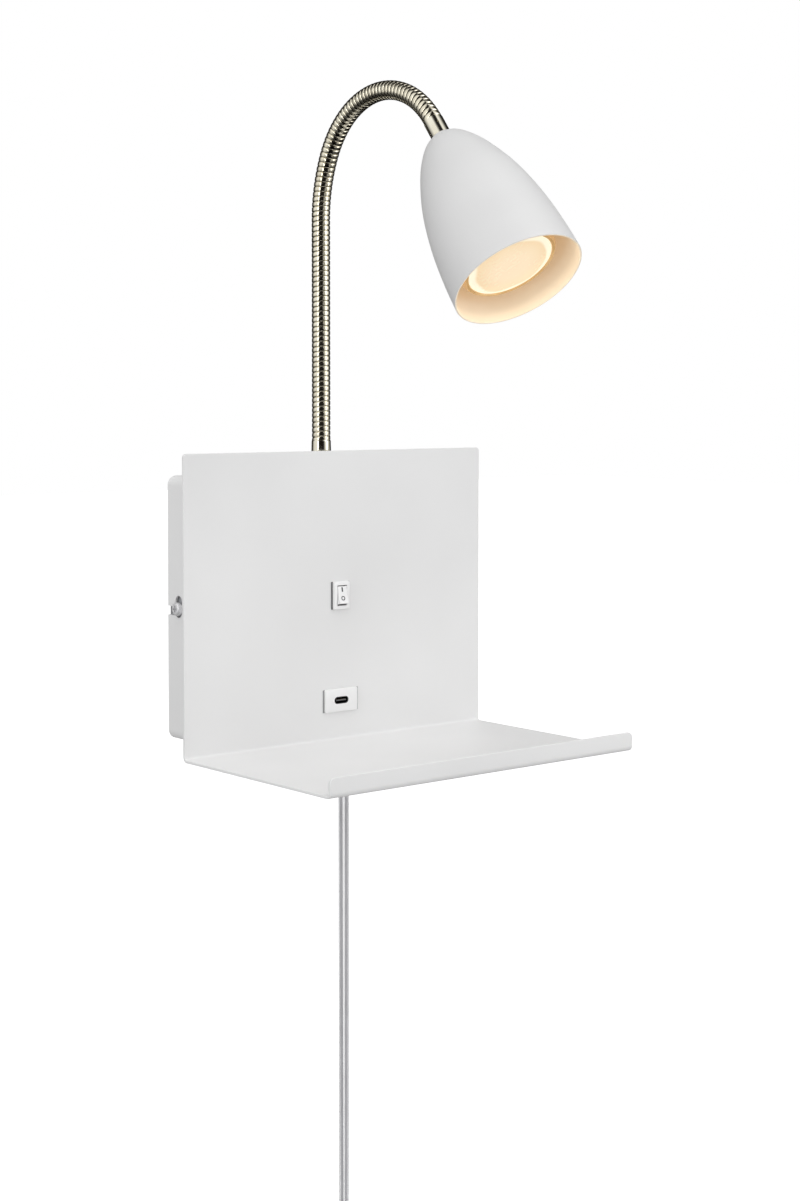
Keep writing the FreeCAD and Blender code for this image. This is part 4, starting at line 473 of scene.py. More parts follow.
class Shape:
    """Starting shapes, all made with bmesh operators."""

    @staticmethod
    def lathe(outline: Sequence[Pair], place: Matrix, steps: int = 96,
              closed: bool = False) -> bmesh.types.BMesh:
        """Turn an outline about the Z axis.

        Args:
            outline: Points (radius, height).
            place: Where the turned shape goes.
            steps: Divisions round the axis.
            closed: True joins the last point to the first.

        Returns:
            The turned shape, with its normals outwards.
        """
        mesh = bmesh.new()
        points = [mesh.verts.new((radius, 0.0, height)) for radius, height in outline]
        pairs = list(zip(points, points[1:])) + ([(points[-1], points[0])] if closed else [])
        edges = [mesh.edges.new(pair) for pair in pairs]
        bmesh.ops.spin(mesh, geom=points + edges, cent=(0, 0, 0), axis=(0, 0, 1), angle=math.tau, steps=steps,
                       use_merge=True)
        bmesh.ops.remove_doubles(mesh, verts=mesh.verts, dist=1e-6)
        bmesh.ops.recalc_face_normals(mesh, faces=mesh.faces)
        mesh.transform(place)
        return mesh

    @staticmethod
    def bar(low: Sequence[float], high: Sequence[float], bevel: float = 0.0, segments: int = 3,
            place: Matrix = Matrix.Identity(4)) -> bmesh.types.BMesh:
        """Box between two corners, with all its edges rounded.

        Args:
            low: Lowest corner.
            high: Highest corner.
            bevel: Radius of the edges.
            segments: Steps of each rounding.
            place: Where the box goes.

        Returns:
            The box.
        """
        mesh = bmesh.new()
        bmesh.ops.create_cube(mesh, size=1.0)
        size = [b - a for a, b in zip(low, high)]
        middle = [(a + b) / 2 for a, b in zip(low, high)]
        bmesh.ops.scale(mesh, vec=size, verts=mesh.verts)
        bmesh.ops.translate(mesh, vec=middle, verts=mesh.verts)
        if bevel:
            Shape.round_edges(mesh, mesh.edges[:], bevel, segments, clamp=True)
        mesh.transform(place)
        return mesh

    @staticmethod
    def slab(size: Pair, height: float, near: float, far: float, bevel: float = 0.0) -> bmesh.types.BMesh:
        """Box that faces -Y, with the middle of its width at x = 0.

        Args:
            size: Width and height of the box.
            height: Z of its middle.
            near: Y of its front.
            far: Y of its back.
            bevel: Radius of its edges.

        Returns:
            The box.
        """
        half_w, half_h = size[0] / 2, size[1] / 2
        return Shape.bar((-half_w, near, height - half_h), (half_w, far, height + half_h), bevel)

    @staticmethod
    def round_edges(mesh: bmesh.types.BMesh, edges: Sequence[bmesh.types.BMEdge], radius: float, segments: int,
                    clamp: bool = False) -> None:
        """Round some edges of a shape.

        Args:
            mesh: The shape.
            edges: The edges.
            radius: Radius of the rounding.
            segments: Steps of the rounding.
            clamp: True stops the roundings where they meet.
        """
        bmesh.ops.bevel(mesh, geom=edges, offset=radius, segments=segments, profile=0.5, affect="EDGES",
                        material=-1, clamp_overlap=clamp)

    @staticmethod
    def edges_along(mesh: bmesh.types.BMesh, axis: int, least: float) -> list[bmesh.types.BMEdge]:
        """Edges that reach more than a length along an axis (0 for X, 1 for Y, 2 for Z)."""
        return [e for e in mesh.edges if abs(e.verts[0].co[axis] - e.verts[1].co[axis]) > least]

    @staticmethod
    def plate(corners: Sequence[Sequence[float]], reach: Sequence[float]) -> bmesh.types.BMesh:
        """Flat outline, thickened to one side.

        Args:
            corners: Corners of the outline, in order.
            reach: Direction and thickness.

        Returns:
            The plate.
        """
        mesh = bmesh.new()
        face = mesh.faces.new([mesh.verts.new(corner) for corner in corners])
        pulled = bmesh.ops.extrude_face_region(mesh, geom=[face])
        moved = [item for item in pulled["geom"] if isinstance(item, bmesh.types.BMVert)]
        bmesh.ops.translate(mesh, vec=reach, verts=moved)
        bmesh.ops.recalc_face_normals(mesh, faces=mesh.faces)
        return mesh

    @staticmethod
    def join(parts: Sequence[bmesh.types.BMesh]) -> bmesh.types.BMesh:
        """Put several shapes into the first one.

        Args:
            parts: The shapes; all but the first are freed.

        Returns:
            The first shape.
        """
        whole = parts[0]
        for part in parts[1:]:
            spare = settle(part, "spare")
            whole.from_mesh(spare)
            bpy.data.meshes.remove(spare)
        return whole

    @staticmethod
    def tube(points: Sequence[Vector], radius: float, sides: int, turn: float = 0.0,
             offset: float = 0.0) -> bmesh.types.BMesh:
        """Closed-ended tube along points, or a strand that winds about them.

        Args:
            points: Points of the middle line.
            radius: Radius of the tube.
            sides: Sides of its section.
            turn: Turns of the strand in each metre.
            offset: Distance of the strand from the middle line.

        Returns:
            The tube.
        """
        mesh = bmesh.new()
        side = Vector((0.77, -0.64, 0.0))  # where the first strand stands out, towards the front right
        last: list[bmesh.types.BMVert] = []
        run = 0.0
        for number, point in enumerate(points):
            before, after = points[max(number - 1, 0)], points[min(number + 1, len(points) - 1)]
            ahead = (after - before).normalized()
            side = (side - ahead * side.dot(ahead)).normalized()
            run += (point - before).length
            angle = math.tau * turn * run
            arm = side * math.cos(angle) + ahead.cross(side) * math.sin(angle)
            basis = Matrix((side, ahead.cross(side), ahead)).transposed().to_4x4()
            place = Matrix.Translation(point + arm * offset) @ basis
            ring = bmesh.ops.create_circle(mesh, segments=sides, radius=radius, matrix=place)["verts"]
            if last:
                loops = [[v.link_edges for v in loop] for loop in (last, ring)]
                edges = {e for loop in loops for star in loop for e in star
                         if all(v in ring for v in e.verts) or all(v in last for v in e.verts)}
                bmesh.ops.bridge_loops(mesh, edges=list(edges))
            last = ring
        bmesh.ops.holes_fill(mesh, edges=mesh.edges[:], sides=sides)
        bmesh.ops.recalc_face_normals(mesh, faces=mesh.faces)
        return mesh


class Spline:
    """Smooth lines: a cord's NURBS curve, and an outline through stations."""

    @staticmethod
    def nurbs(name: str, points: Sequence[Sequence[float]], radius: float, finish: Finish,
              rings: int = 4) -> bpy.types.Object:
        """Curve object with one open NURBS spline of order 3.

        Args:
            name: Name of the object.
            points: Control points.
            radius: Radius of the tube, kept on its points so that the curve's box stays tight.
            finish: Finish of the tube.
            rings: Bevel resolution.

        Returns:
            The curve object.
        """
        data = bpy.data.curves.new(name, "CURVE")
        data.dimensions = "3D"
        data.bevel_depth, data.bevel_resolution, data.use_fill_caps = 1.0, rings, True
        data.resolution_u = 6
        spline = data.splines.new("NURBS")
        spline.points.add(len(points) - 1)
        for control, point in zip(spline.points, points):
            control.co = (*point, 1.0)
            control.radius = radius
        spline.order_u = 3
        spline.use_endpoint_u = True
        data.materials.append(finish.material())
        curve = show(name, data)
        return curve

    @staticmethod
    def walk(curve: bpy.types.Object) -> list[Vector]:
        """Middle line of a tube, read with its bevel off.

        Args:
            curve: The curve object.

        Returns:
            Points along the line.
        """
        depth = curve.data.bevel_depth
        curve.data.bevel_depth = 0.0
        bpy.context.view_layer.update()
        shown = curve.evaluated_get(bpy.context.evaluated_depsgraph_get())
        line = bpy.data.meshes.new_from_object(shown)
        points = [vertex.co.copy() for vertex in line.vertices]
        bpy.data.meshes.remove(line)
        curve.data.bevel_depth = depth
        return points

    @staticmethod
    def through(stations: Sequence[Pair], steps: int) -> list[Pair]:
        """Smooth outline that passes through each station.

        Args:
            stations: Points (radius, height).
            steps: Divisions between two stations.

        Returns:
            Points of the outline.
        """
        fixed = [Vector(s) for s in stations]
        before = fixed[0] * 2 - fixed[1]
        after = fixed[-1] * 2 - fixed[-2]
        run = [before, *fixed, after]
        made = []
        for index in range(1, len(run) - 2):
            p0, p1, p2, p3 = run[index - 1:index + 3]
            gaps = [max((b - a).length, 1e-9) ** 0.5 for a, b in ((p0, p1), (p1, p2), (p2, p3))]
            start = ((p1 - p0) / gaps[0] - (p2 - p0) / (gaps[0] + gaps[1]) + (p2 - p1) / gaps[1]) * gaps[1]
            end = ((p2 - p1) / gaps[1] - (p3 - p1) / (gaps[1] + gaps[2]) + (p3 - p2) / gaps[2]) * gaps[1]
            for step in range(steps):
                t = step / steps
                made.append((p1 * (2 * t ** 3 - 3 * t ** 2 + 1) + start * (t ** 3 - 2 * t ** 2 + t)
                             + p2 * (3 * t ** 2 - 2 * t ** 3) + end * (t ** 3 - t ** 2)).to_tuple())
        return made + [fixed[-1].to_tuple()]


def dress(finish: Finish, *nodes: str) -> None:
    """Give carried-over solids a finish.

    Args:
        finish: The finish.
        nodes: Names of the solids.
    """
    for node in nodes:
        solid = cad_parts[node]
        solid.data.materials.clear()
        solid.data.materials.append(finish.material())


# ---------------------------------------------------------------- shared line and places
@dataclass
class HosePath:
    """Middle line of the gooseneck: a straight run, a wide arc and a tight arc over the top."""

    depth: float = 0.015
    start: float = 0.0864
    straight: float = 0.1189
    wide_radius: float = 0.080
    wide_turn: float = math.radians(25.0)
    tight_radius: float = 0.0505
    total_turn: float = math.radians(142.6)
    first_pivot: float = 0.014
    end_link: float = 0.01146
    pivots: int = 8

    @property
    def wide_run(self) -> float:
        """Length of the wide arc."""
        return self.wide_radius * self.wide_turn

    @property
    def length(self) -> float:
        """Whole length of the hose."""
        return self.straight + self.wide_run + self.tight_radius * (self.total_turn - self.wide_turn)

    def turn(self, at: float) -> float:
        """Turn from upright at a place on the hose.

        Args:
            at: Length along the hose.

        Returns:
            The turn, in radians.
        """
        past = at - self.straight
        if past <= 0:
            return 0.0
        if past <= self.wide_run:
            return past / self.wide_radius
        return self.wide_turn + (past - self.wide_run) / self.tight_radius

    def point(self, at: float) -> Vector:
        """Point of the middle line.

        Args:
            at: Length along the hose.

        Returns:
            The point.
        """
        turn = self.turn(at)
        if at <= self.straight:
            return Vector((0.0, -self.depth, self.start + at))
        wide = Vector((0.0, -self.depth - self.wide_radius, self.start + self.straight))
        out = Vector((0.0, math.cos(turn), math.sin(turn)))
        if at <= self.straight + self.wide_run:
            return wide + out * self.wide_radius
        knee = Vector((0.0, math.cos(self.wide_turn), math.sin(self.wide_turn)))
        tight = wide + knee * (self.wide_radius - self.tight_radius)
        return tight + out * self.tight_radius

    def ahead(self, at: float) -> Vector:
        """Direction of the hose at a length."""
        turn = self.turn(at)
        return Vector((0.0, -math.sin(turn), math.cos(turn)))

    def place(self, at: float) -> Matrix:
        """Frame across the hose, with its Z along the hose and its X kept.

        Args:
            at: Length along the hose.

        Returns:
            The frame.
        """
        ahead, right = self.ahead(at), Vector((1, 0, 0))
        basis = Matrix((right, ahead.cross(right), ahead)).transposed()
        return Matrix.Translation(self.point(at)) @ basis.to_4x4()

    @property
    def tip(self) -> Matrix:
        """Frame at the end of the hose, with its Z along the shade's axis."""
        return self.place(self.length)

    def pivot(self, number: int) -> float:
        """Length along the hose of a pivot, counted from 1."""
        last = self.length - self.end_link
        return self.first_pivot + (last - self.first_pivot) * (number - 1) / (self.pivots - 1)

    def middle(self, number: int) -> float:
        """Middle of a link, or the hose's end for the first and last link.

        Args:
            number: Number of the link, from 0 at the foot.

        Returns:
            Length along the hose.
        """
        if number == 0:
            return 0.0
        if number == self.pivots:
            return self.length
        return (self.pivot(number) + self.pivot(number + 1)) / 2


PATH = HosePath()
SWITCH_HEIGHT = 0.0032
SOCKET_HEIGHT = -0.0533


# ---------------------------------------------------------------- studio
@dataclass(frozen=True)
class SoftBox:
    """Rectangular light that aims at the middle of the lamp.

    Attributes:
        name: Name of the light.
        place: Its middle.
        size: Width and height.
        power: Watts.
        mirrored: Whether polished surfaces show it.
    """

    name: str
    place: Triple
    size: Pair
    power: float
    mirrored: bool = False

    def build(self) -> None:
        """Make the light."""
        data = bpy.data.lights.new(self.name, "AREA")
        data.shape = "RECTANGLE"
        data.size, data.size_y = self.size
        data.energy = self.power
        light = show(self.name, data)
        light.location = self.place
        aim = Vector((0.0, -0.06, 0.03)) - Vector(self.place)
        light.rotation_euler = aim.to_track_quat("-Z", "Y").to_euler()
        light.visible_glossy = self.mirrored


@dataclass
class Studio:
    """Camera, pale floor and soft light.

    Attributes:
        mirrored_from: Level direction from the lamp to the camera.
        mirrored_bands: Colour of the room that metal mirrors, by bearing: 0 is away from the camera, 1 towards it.
        mirrored_fade: Heights between which that room grows from dim to full.
        mirrored_low: Its level at the lower height.
    """

    eye: Triple = (-0.6597, -0.8799, 0.1111)
    yaw: float = 39.585
    pitch: float = -2.161
    lens: float = 60.105
    shift_y: float = -0.1088
    floor_height: float = -0.62
    floor_size: float = 12.0
    floor_glow: float = 0.75
    even_light: float = 0.6
    mirrored_light: float = 1.15
    mirrored_from: Triple = (-0.6, -0.8, 0.0)
    mirrored_bands: tuple[tuple[float, Colour], ...] = (
        (0.22, (0.02, 0.018, 0.016)), (0.36, (0.5, 0.5, 0.5)), (0.52, (1.0, 1.0, 1.0)), (0.82, (1.0, 1.0, 1.0)),
        (0.92, (0.06, 0.06, 0.06)), (0.965, (0.012, 0.01, 0.009)))
    mirrored_fade: Pair = (-0.55, 0.1)
    mirrored_low: float = 0.08
    soft_boxes: tuple[SoftBox, ...] = (
        SoftBox("left_box", (-1.9, -0.5, 0.5), (0.5, 2.2), 9.5, mirrored=True),
        SoftBox("right_box", (0.75, -1.1, 0.45), (0.5, 2.0), 5.5, mirrored=True),
        SoftBox("top_box", (-0.3, -0.6, 2.0), (1.8, 1.2), 13.0),
        SoftBox("front_fill", (-0.3, -1.9, 0.3), (1.6, 1.6), 3.5))

    def build(self) -> None:
        """Make the camera, the floor, the world and the soft boxes."""
        self.camera()
        self.floor()
        self.world()
        for box in self.soft_boxes:
            box.build()

    def camera(self) -> None:
        """Camera at the photograph's place, looking along its line."""
        data = bpy.data.cameras.new("view")
        data.lens, data.sensor_width, data.shift_y = self.lens, 36.0, self.shift_y
        data.sensor_fit = "AUTO"
        data.clip_start = 0.01
        camera = show("view", data)
        camera.location = self.eye
        camera.rotation_euler = (math.radians(90.0 + self.pitch), 0.0, math.radians(-self.yaw))
        bpy.context.scene.camera = camera
        bpy.context.scene.view_settings.view_transform = "Standard"

    def floor(self) -> None:
        """Plain pale floor, far below the lamp."""
        mesh = bmesh.new()
        bmesh.ops.create_grid(mesh, x_segments=1, y_segments=1, size=self.floor_size,
                              matrix=Matrix.Translation((0, 0, self.floor_height)))
        data = settle(mesh, "floor")
        made = bpy.data.materials.new("pale_floor")
        made.use_nodes = True
        set_inputs(made.node_tree.nodes["Principled BSDF"], {
            "Base Color": (0.9, 0.9, 0.9, 1.0), "Roughness": 0.9, "Specular IOR Level": 0.1,
            "Emission Color": (1.0, 1.0, 1.0, 1.0), "Emission Strength": self.floor_glow})
        data.materials.append(made)
        floor = show("floor", data)
        floor.visible_glossy = floor.visible_diffuse = False

    def world(self) -> None:
        """White surroundings that the lens sees, and dimmer ones that the polished metal mirrors."""
        world = bpy.data.worlds.new("studio")
        bpy.context.scene.world = world
        world.use_nodes = True
        tree, white_light = world.node_tree, (1.0, 1.0, 1.0, 1.0)
        even, leave = tree.nodes["Background"], tree.nodes["World Output"]
        white, dark_room, seen, mirrored, path, place = add_nodes(
            tree, "Background", "Background", "MixShader", "MixShader", "LightPath", "TexCoord")
        level, unit, facing, halve = add_nodes(tree, "VectorMath", "VectorMath", "VectorMath", "MapRange")
        bands, split, height, room = add_nodes(tree, "ValToRGB", "SeparateXYZ", "MapRange", "Mix")
        level.operation, unit.operation, facing.operation = "MULTIPLY", "NORMALIZE", "DOT_PRODUCT"
        room.data_type, room.blend_type = "RGBA", "MULTIPLY"
        fill_ramp(bands.color_ramp, self.mirrored_bands)
        for node, values in (
            (even, {"Color": white_light, "Strength": self.even_light}),
            (white, {"Color": white_light}),
            (dark_room, {"Strength": self.mirrored_light}),
            (level, {1: (1.0, 1.0, 0.0)}),
            (facing, {1: self.mirrored_from}),
            (halve, {"From Min": -1.0}),
            (height, {"From Min": self.mirrored_fade[0], "From Max": self.mirrored_fade[1],
                      "To Min": self.mirrored_low}),
            (room, {"Factor": 1.0}),
        ):
            set_inputs(node, values)
        link_nodes(tree, (place, "Generated", level, 0), (level, 0, unit, 0), (unit, 0, facing, 0),
                   (facing, "Value", halve, "Value"), (halve, 0, bands, "Fac"), (place, "Generated", split, 0),
                   (split, "Z", height, "Value"), (bands, "Color", room, "A"), (height, 0, room, "B"),
                   (room, "Result", dark_room, "Color"), (path, "Is Glossy Ray", mirrored, 0),
                   (even, 0, mirrored, 1), (dark_room, 0, mirrored, 2), (path, "Is Camera Ray", seen, 0),
                   (mirrored, 0, seen, 1), (white, 0, seen, 2), (seen, 0, leave, "Surface"))


# ---------------------------------------------------------------- sub-assemblies
@dataclass
class MainsCord:
    """Clear two-core cord: down from the box, wound into a coil, tied, and ended in a flat plug."""

    exit_x: float = 0.014
    exit_y: float = -0.0165
    inside: float = -0.06655
    exit_z: float = -0.07075
    radius: float = 0.003
    centre_x: float = -0.0222
    centre_z: float = -0.388
    outer_lane: float = 0.0362
    inner_lane: float = 0.030
    pitch: float = 0.0062
    outer_turns: int = 2
    inner_turns: int = 4
    points_per_turn: int = 16
    front_lane: float = -0.0289
    tail_x: float = 0.0078
    tail_end: float = -0.450
    real_length: float = 1.8
    strand_radius: float = 0.0008
    strand_offset: float = 0.00145
    strand_turns_per_metre: float = 0.4
    tie_height: float = 0.005
    tie_corner: float = 0.0026
    tie_wall: float = 0.000784
    grip_bore: float = 0.00305
    plug_size: Triple = (0.0353, 0.0137, 0.030)
    plug_edge: float = 0.0022
    relief_length: float = 0.014
    relief_bore: float = 0.00302

    def route(self) -> list[Triple]:
        """Lay the cord down from the grip, round the coil and on to the plug.

        Returns:
            Control points of the cord.
        """
        points = [(self.exit_x, self.exit_y, z) for z in (self.inside, -0.09, -0.13, -0.20, -0.27, -0.33, -0.36)]
        turns = self.outer_turns + 1 + self.inner_turns
        swell = 1.0 / math.cos(math.pi / self.points_per_turn)
        for step in range(1, turns * self.points_per_turn):
            run = step / self.points_per_turn
            lane, y = self.lane(run)
            angle = -math.tau * run
            points.append((self.centre_x + lane * swell * math.cos(angle), y,
                           self.centre_z + lane * swell * math.sin(angle)))
        points += [(self.tail_x, self.front_lane, z) for z in (-0.394, -0.410, -0.430, self.tail_end)]
        return points

    def lane(self, run: float) -> Pair:
        """Radius and depth of the coil after a number of turns.

        Args:
            run: Turns since the cord came in.

        Returns:
            Radius of the lane, and its Y.
        """
        rear = self.exit_y + self.pitch * self.outer_turns
        if run < self.outer_turns:
            return self.outer_lane, self.exit_y + self.pitch * run
        if run < self.outer_turns + 1:
            share = run - self.outer_turns
            return self.outer_lane + (self.inner_lane - self.outer_lane) * share, rear
        return self.inner_lane, rear - self.pitch * (run - self.outer_turns - 1)

    def build(self) -> None:
        """Make the cord, its two conductors, the tie, the grip and the plug."""
        cord = Spline.nurbs("cord", self.route(), self.radius, CLEAR_PVC, rings=5)
        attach(cord, "base")
        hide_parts("cord_tube", "cord_coil", "cord_tail")
        line = Spline.walk(cord)
        strands = [self.strand(line, side) for side in (-1, 1)]
        tie = self.tie()
        self.grip()
        plug = self.plug()
        dress(PIN_NICKEL, "plug_pins")
        dress(BLACK_PLASTIC, "plug_sleeves")

    def strand(self, line: Sequence[Vector], side: int) -> bpy.types.Object:
        """One conductor, seen through the clear jacket, turning slowly about the cord's middle.

        Args:
            line: Middle line of the cord.
            side: -1 for the left conductor, 1 for the right one.

        Returns:
            The conductor.
        """
        name = "conductor_left" if side < 0 else "conductor_right"
        mesh = Shape.tube(line, self.strand_radius, 8, self.strand_turns_per_metre, side * self.strand_offset)
        return Piece.make(name, mesh, STRAND, "base")

    def tie(self) -> bpy.types.Object:
        """Strap round the side of the coil.

        Returns:
            The strap.
        """
        mesh = Shape.bar(*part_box("cord_tie"))
        ends = [f for f in mesh.faces if abs(f.normal.z) > 0.9]
        bmesh.ops.delete(mesh, geom=ends, context="FACES_ONLY")
        Shape.round_edges(mesh, Shape.edges_along(mesh, 2, self.tie_height / 2), self.tie_corner, 6)
        bmesh.ops.recalc_face_normals(mesh, faces=mesh.faces)
        strap = Piece.make("cord_strap", mesh, BLACK_PLASTIC, "base", ["cord_tie"])
        band = strap.modifiers.new("band", "SOLIDIFY")
        band.thickness, band.offset, band.use_even_offset = self.tie_wall, -1.0, True
        return Piece.soften(strap, 0.0002, 2)

    def grip(self) -> None:
        """Tapered bush in the box bottom, ringed with grooves that let it bend."""
        floor, wall, neck, tip = -0.06875, 0.0012, 0.0050, 0.0038
        collar, height, tail, ribs = 0.0065, 0.0020, 0.030, 7
        groove = ((0.15, 0.0), (0.3, 0.0005), (0.6, 0.0005), (0.75, 0.0))  # share of a rib, and depth there
        inside, top = floor + wall, floor - height
        outline = [(self.grip_bore, inside + height), (collar, inside + height), (collar, inside), (neck, inside),
                   (neck, floor), (collar, floor), (collar, top), (neck, top)]
        for rib in range(ribs):
            for share, sink in groove:
                at = (rib + share) / ribs
                outline.append((neck + (tip - neck) * at - sink, top - tail * at))
        outline += [(tip, top - tail), (self.grip_bore, top - tail)]
        place = Matrix.Translation((self.exit_x, self.exit_y, 0.0))
        bush = Shape.lathe(outline, place, 48, closed=True)
        Piece.soften(Piece.make("cord_bush", bush, GRIP_PVC, "base", ["cord_grip"]), 0.0002, 2)

    def plug(self) -> bpy.types.Object:
        """Flat moulded plug: ringed relief, sloped shoulders and two finger hollows.

        Returns:
            The plug's shell.
        """
        x, y, top = self.tail_x, self.front_lane, self.tail_end
        width, thickness, length = self.plug_size
        shoulder = top - self.relief_length
        face, waist, slope = shoulder - length, shoulder - 0.0135, shoulder - 0.006
        half, neck, hollow, narrow = width / 2, 0.006, 0.93, 0.72
        right = [(neck, shoulder), (half * narrow, slope), (half, waist), (half * hollow, (waist + face) / 2),
                 (half, face)]
        outline = right + [(-out, z) for out, z in reversed(right)]
        body = Shape.plate([(x + out, y - thickness / 2, z) for out, z in outline], (0.0, thickness, 0.0))
        Shape.round_edges(body, body.edges[:], self.plug_edge, 5, clamp=True)
        stem, foot_width, rings, pitch, groove = 0.0042, 0.0052, 5, 0.0025, 0.0006
        relief = [(self.relief_bore, top), (stem, top)]
        for ring in range(rings):
            start = top - 0.0012 - ring * pitch
            wide = stem + (foot_width - stem) * (ring + 1) / rings
            relief += [(wide, start), (wide - groove, start - 0.0004), (wide - groove, start - 0.001),
                       (wide + 0.0002, start - 0.0014)]
        relief += [(foot_width, shoulder - 0.001), (self.relief_bore, shoulder - 0.001)]
        ringed = Shape.lathe(relief, Matrix.Translation((x, y, 0.0)), 40, closed=True)
        return Piece.make("plug_shell", Shape.join([body, ringed]), PLUG, "base", ["plug_body"])


@dataclass
class FoldedShelf:
    """Panel, shelf and lip folded from one sheet, with weld studs behind."""

    width: float = 0.200
    sheet: float = 0.0015
    back: float = -0.030
    top: float = 0.0809
    under: float = -0.0759
    reach: float = 0.1209
    lip: float = 0.0102
    bend: float = 0.003
    top_corner: float = 0.002
    lip_corner: float = 0.003
    stud_x: float = 0.075
    stud_z: float = 0.055
    stud_radius: float = 0.0019
    stud_length: float = 0.008
    switch_opening: Pair = (0.0088, 0.0133)
    socket_opening: Pair = (0.0194, 0.010)

    def outer_line(self) -> list[Pair]:
        """Outer side of the folded sheet, from the top to the lip.

        Returns:
            Points (y, z).
        """
        steps, inner = 8, self.under + self.bend
        lip_y = self.back - self.sheet - self.reach
        turns = [math.radians(90.0 * step / steps) for step in range(steps + 1)]
        points = [(self.back, self.top)]
        points += [(self.back - self.bend + self.bend * math.cos(turn), inner - self.bend * math.sin(turn))
                   for turn in turns]
        points += [(lip_y + self.bend - self.bend * math.sin(turn), inner - self.bend * math.cos(turn))
                   for turn in turns]
        return points + [(lip_y, self.under + self.lip)]

    def build(self) -> None:
        """Fold the sheet, round its corners, cut its two openings and weld its studs."""
        mesh = bmesh.new()
        chain = [mesh.verts.new((-self.width / 2, y, z)) for y, z in self.outer_line()]
        edges = [mesh.edges.new(pair) for pair in zip(chain, chain[1:])]
        pulled = bmesh.ops.extrude_edge_only(mesh, edges=edges)
        moved = [item for item in pulled["geom"] if isinstance(item, bmesh.types.BMVert)]
        bmesh.ops.translate(mesh, vec=(self.width, 0, 0), verts=moved)
        mesh.verts.ensure_lookup_table()
        for height, radius in ((self.top, self.top_corner), (self.under + self.lip, self.lip_corner)):
            corners = [v for v in mesh.verts if abs(v.co.z - height) < 1e-6]
            bmesh.ops.bevel(mesh, geom=corners, offset=radius, segments=6, profile=0.5, affect="VERTICES",
                            material=-1)
        bmesh.ops.recalc_face_normals(mesh, faces=mesh.faces)
        outward = next(f for f in mesh.faces if abs(f.normal.z) > 0.99)
        if outward.normal.z > 0:
            bmesh.ops.reverse_faces(mesh, faces=mesh.faces)
        panel = Piece.make("folded_panel", mesh, POWDER, "base", ["shelf_panel"])
        wall = panel.modifiers.new("sheet", "SOLIDIFY")
        wall.thickness, wall.offset, wall.use_even_offset = self.sheet, -1.0, True
        near, far = self.back - 0.004, self.back + 0.002
        Piece.carve(panel, [Shape.slab(self.switch_opening, SWITCH_HEIGHT, near, far),
                            Shape.slab(self.socket_opening, SOCKET_HEIGHT, near, far)])
        Piece.soften(panel, 0.00035)
        self.studs()

    def studs(self) -> None:
        """Weld studs behind the panel, each with a chamfered end."""
        radius, length, chamfer, sink = self.stud_radius, self.stud_length, (0.0006, 0.0008), 0.0002
        outline = [(0.0, -sink), (radius, -sink), (radius, length - chamfer[1]), (radius - chamfer[0], length),
                   (0.0, length)]
        parts = []
        for x in (-self.stud_x, self.stud_x):
            for z in (-self.stud_z, self.stud_z):
                place = Matrix.Translation((x, self.back, z)) @ Matrix.Rotation(-math.pi / 2, 4, "X")
                parts.append(Shape.lathe(outline, place, 24))
        Piece.make("weld_studs", Shape.join(parts), SCREW, "base")


class Mark(Enum):
    """Mark on a pad of the rocker."""

    ON = "bar"
    OFF = "ring"


@dataclass
class PanelFitting:
    """Snap-in fitting in the panel: a raised face plate, dark grey strips beside it that paint its shadow on the
    panel, and a body behind.

    Attributes:
        height: Z of its middle.
        proud: How far the plate stands out of the panel.
        plate: Width and height of the plate.
        lip: Radius of the plate's front edge, and its steps.
        body: Width and height of the body.
        body_depth: Depth of the body.
        shadow_strip: How far the painted-shadow strips stand out, and the radius of their edges.
        front: Y of the panel's front.
    """

    height: float
    proud: float
    plate: Pair
    lip: tuple[float, int]
    body: Pair
    body_depth: float
    shadow_strip: Pair
    front: float = -0.0315

    def face_plate(self) -> bmesh.types.BMesh:
        """Shape the plate, with rounded corners and a rounded front edge.

        Returns:
            The plate.
        """
        mesh = Shape.slab(self.plate, self.height, self.front - self.proud, self.front)
        Shape.round_edges(mesh, Shape.edges_along(mesh, 1, self.proud / 2), 0.0008, 5)
        rim = [edge for face in mesh.faces if face.normal.y < -0.9 for edge in face.edges]
        Shape.round_edges(mesh, rim, *self.lip)
        return mesh

    def shadow_strips(self, name: str, finish: Finish) -> None:
        """Low dark grey strips to the left and right of the plate: a painted shadow of the plate on the panel.

        Args:
            name: Name of the piece.
            finish: Its finish.
        """
        under, past, short = 0.0003, 0.0009, 0.0001
        half_w, half_h = self.plate[0] / 2, self.plate[1] / 2 - short
        rise, edge = self.shadow_strip
        sides = []
        for side in (-1, 1):
            low, high = sorted(side * (half_w + reach) for reach in (-under, past))
            sides.append(Shape.bar((low, self.front - rise, self.height - half_h),
                                   (high, self.front, self.height + half_h), edge, 2))
        Piece.make(name, Shape.join(sides), finish, "base")


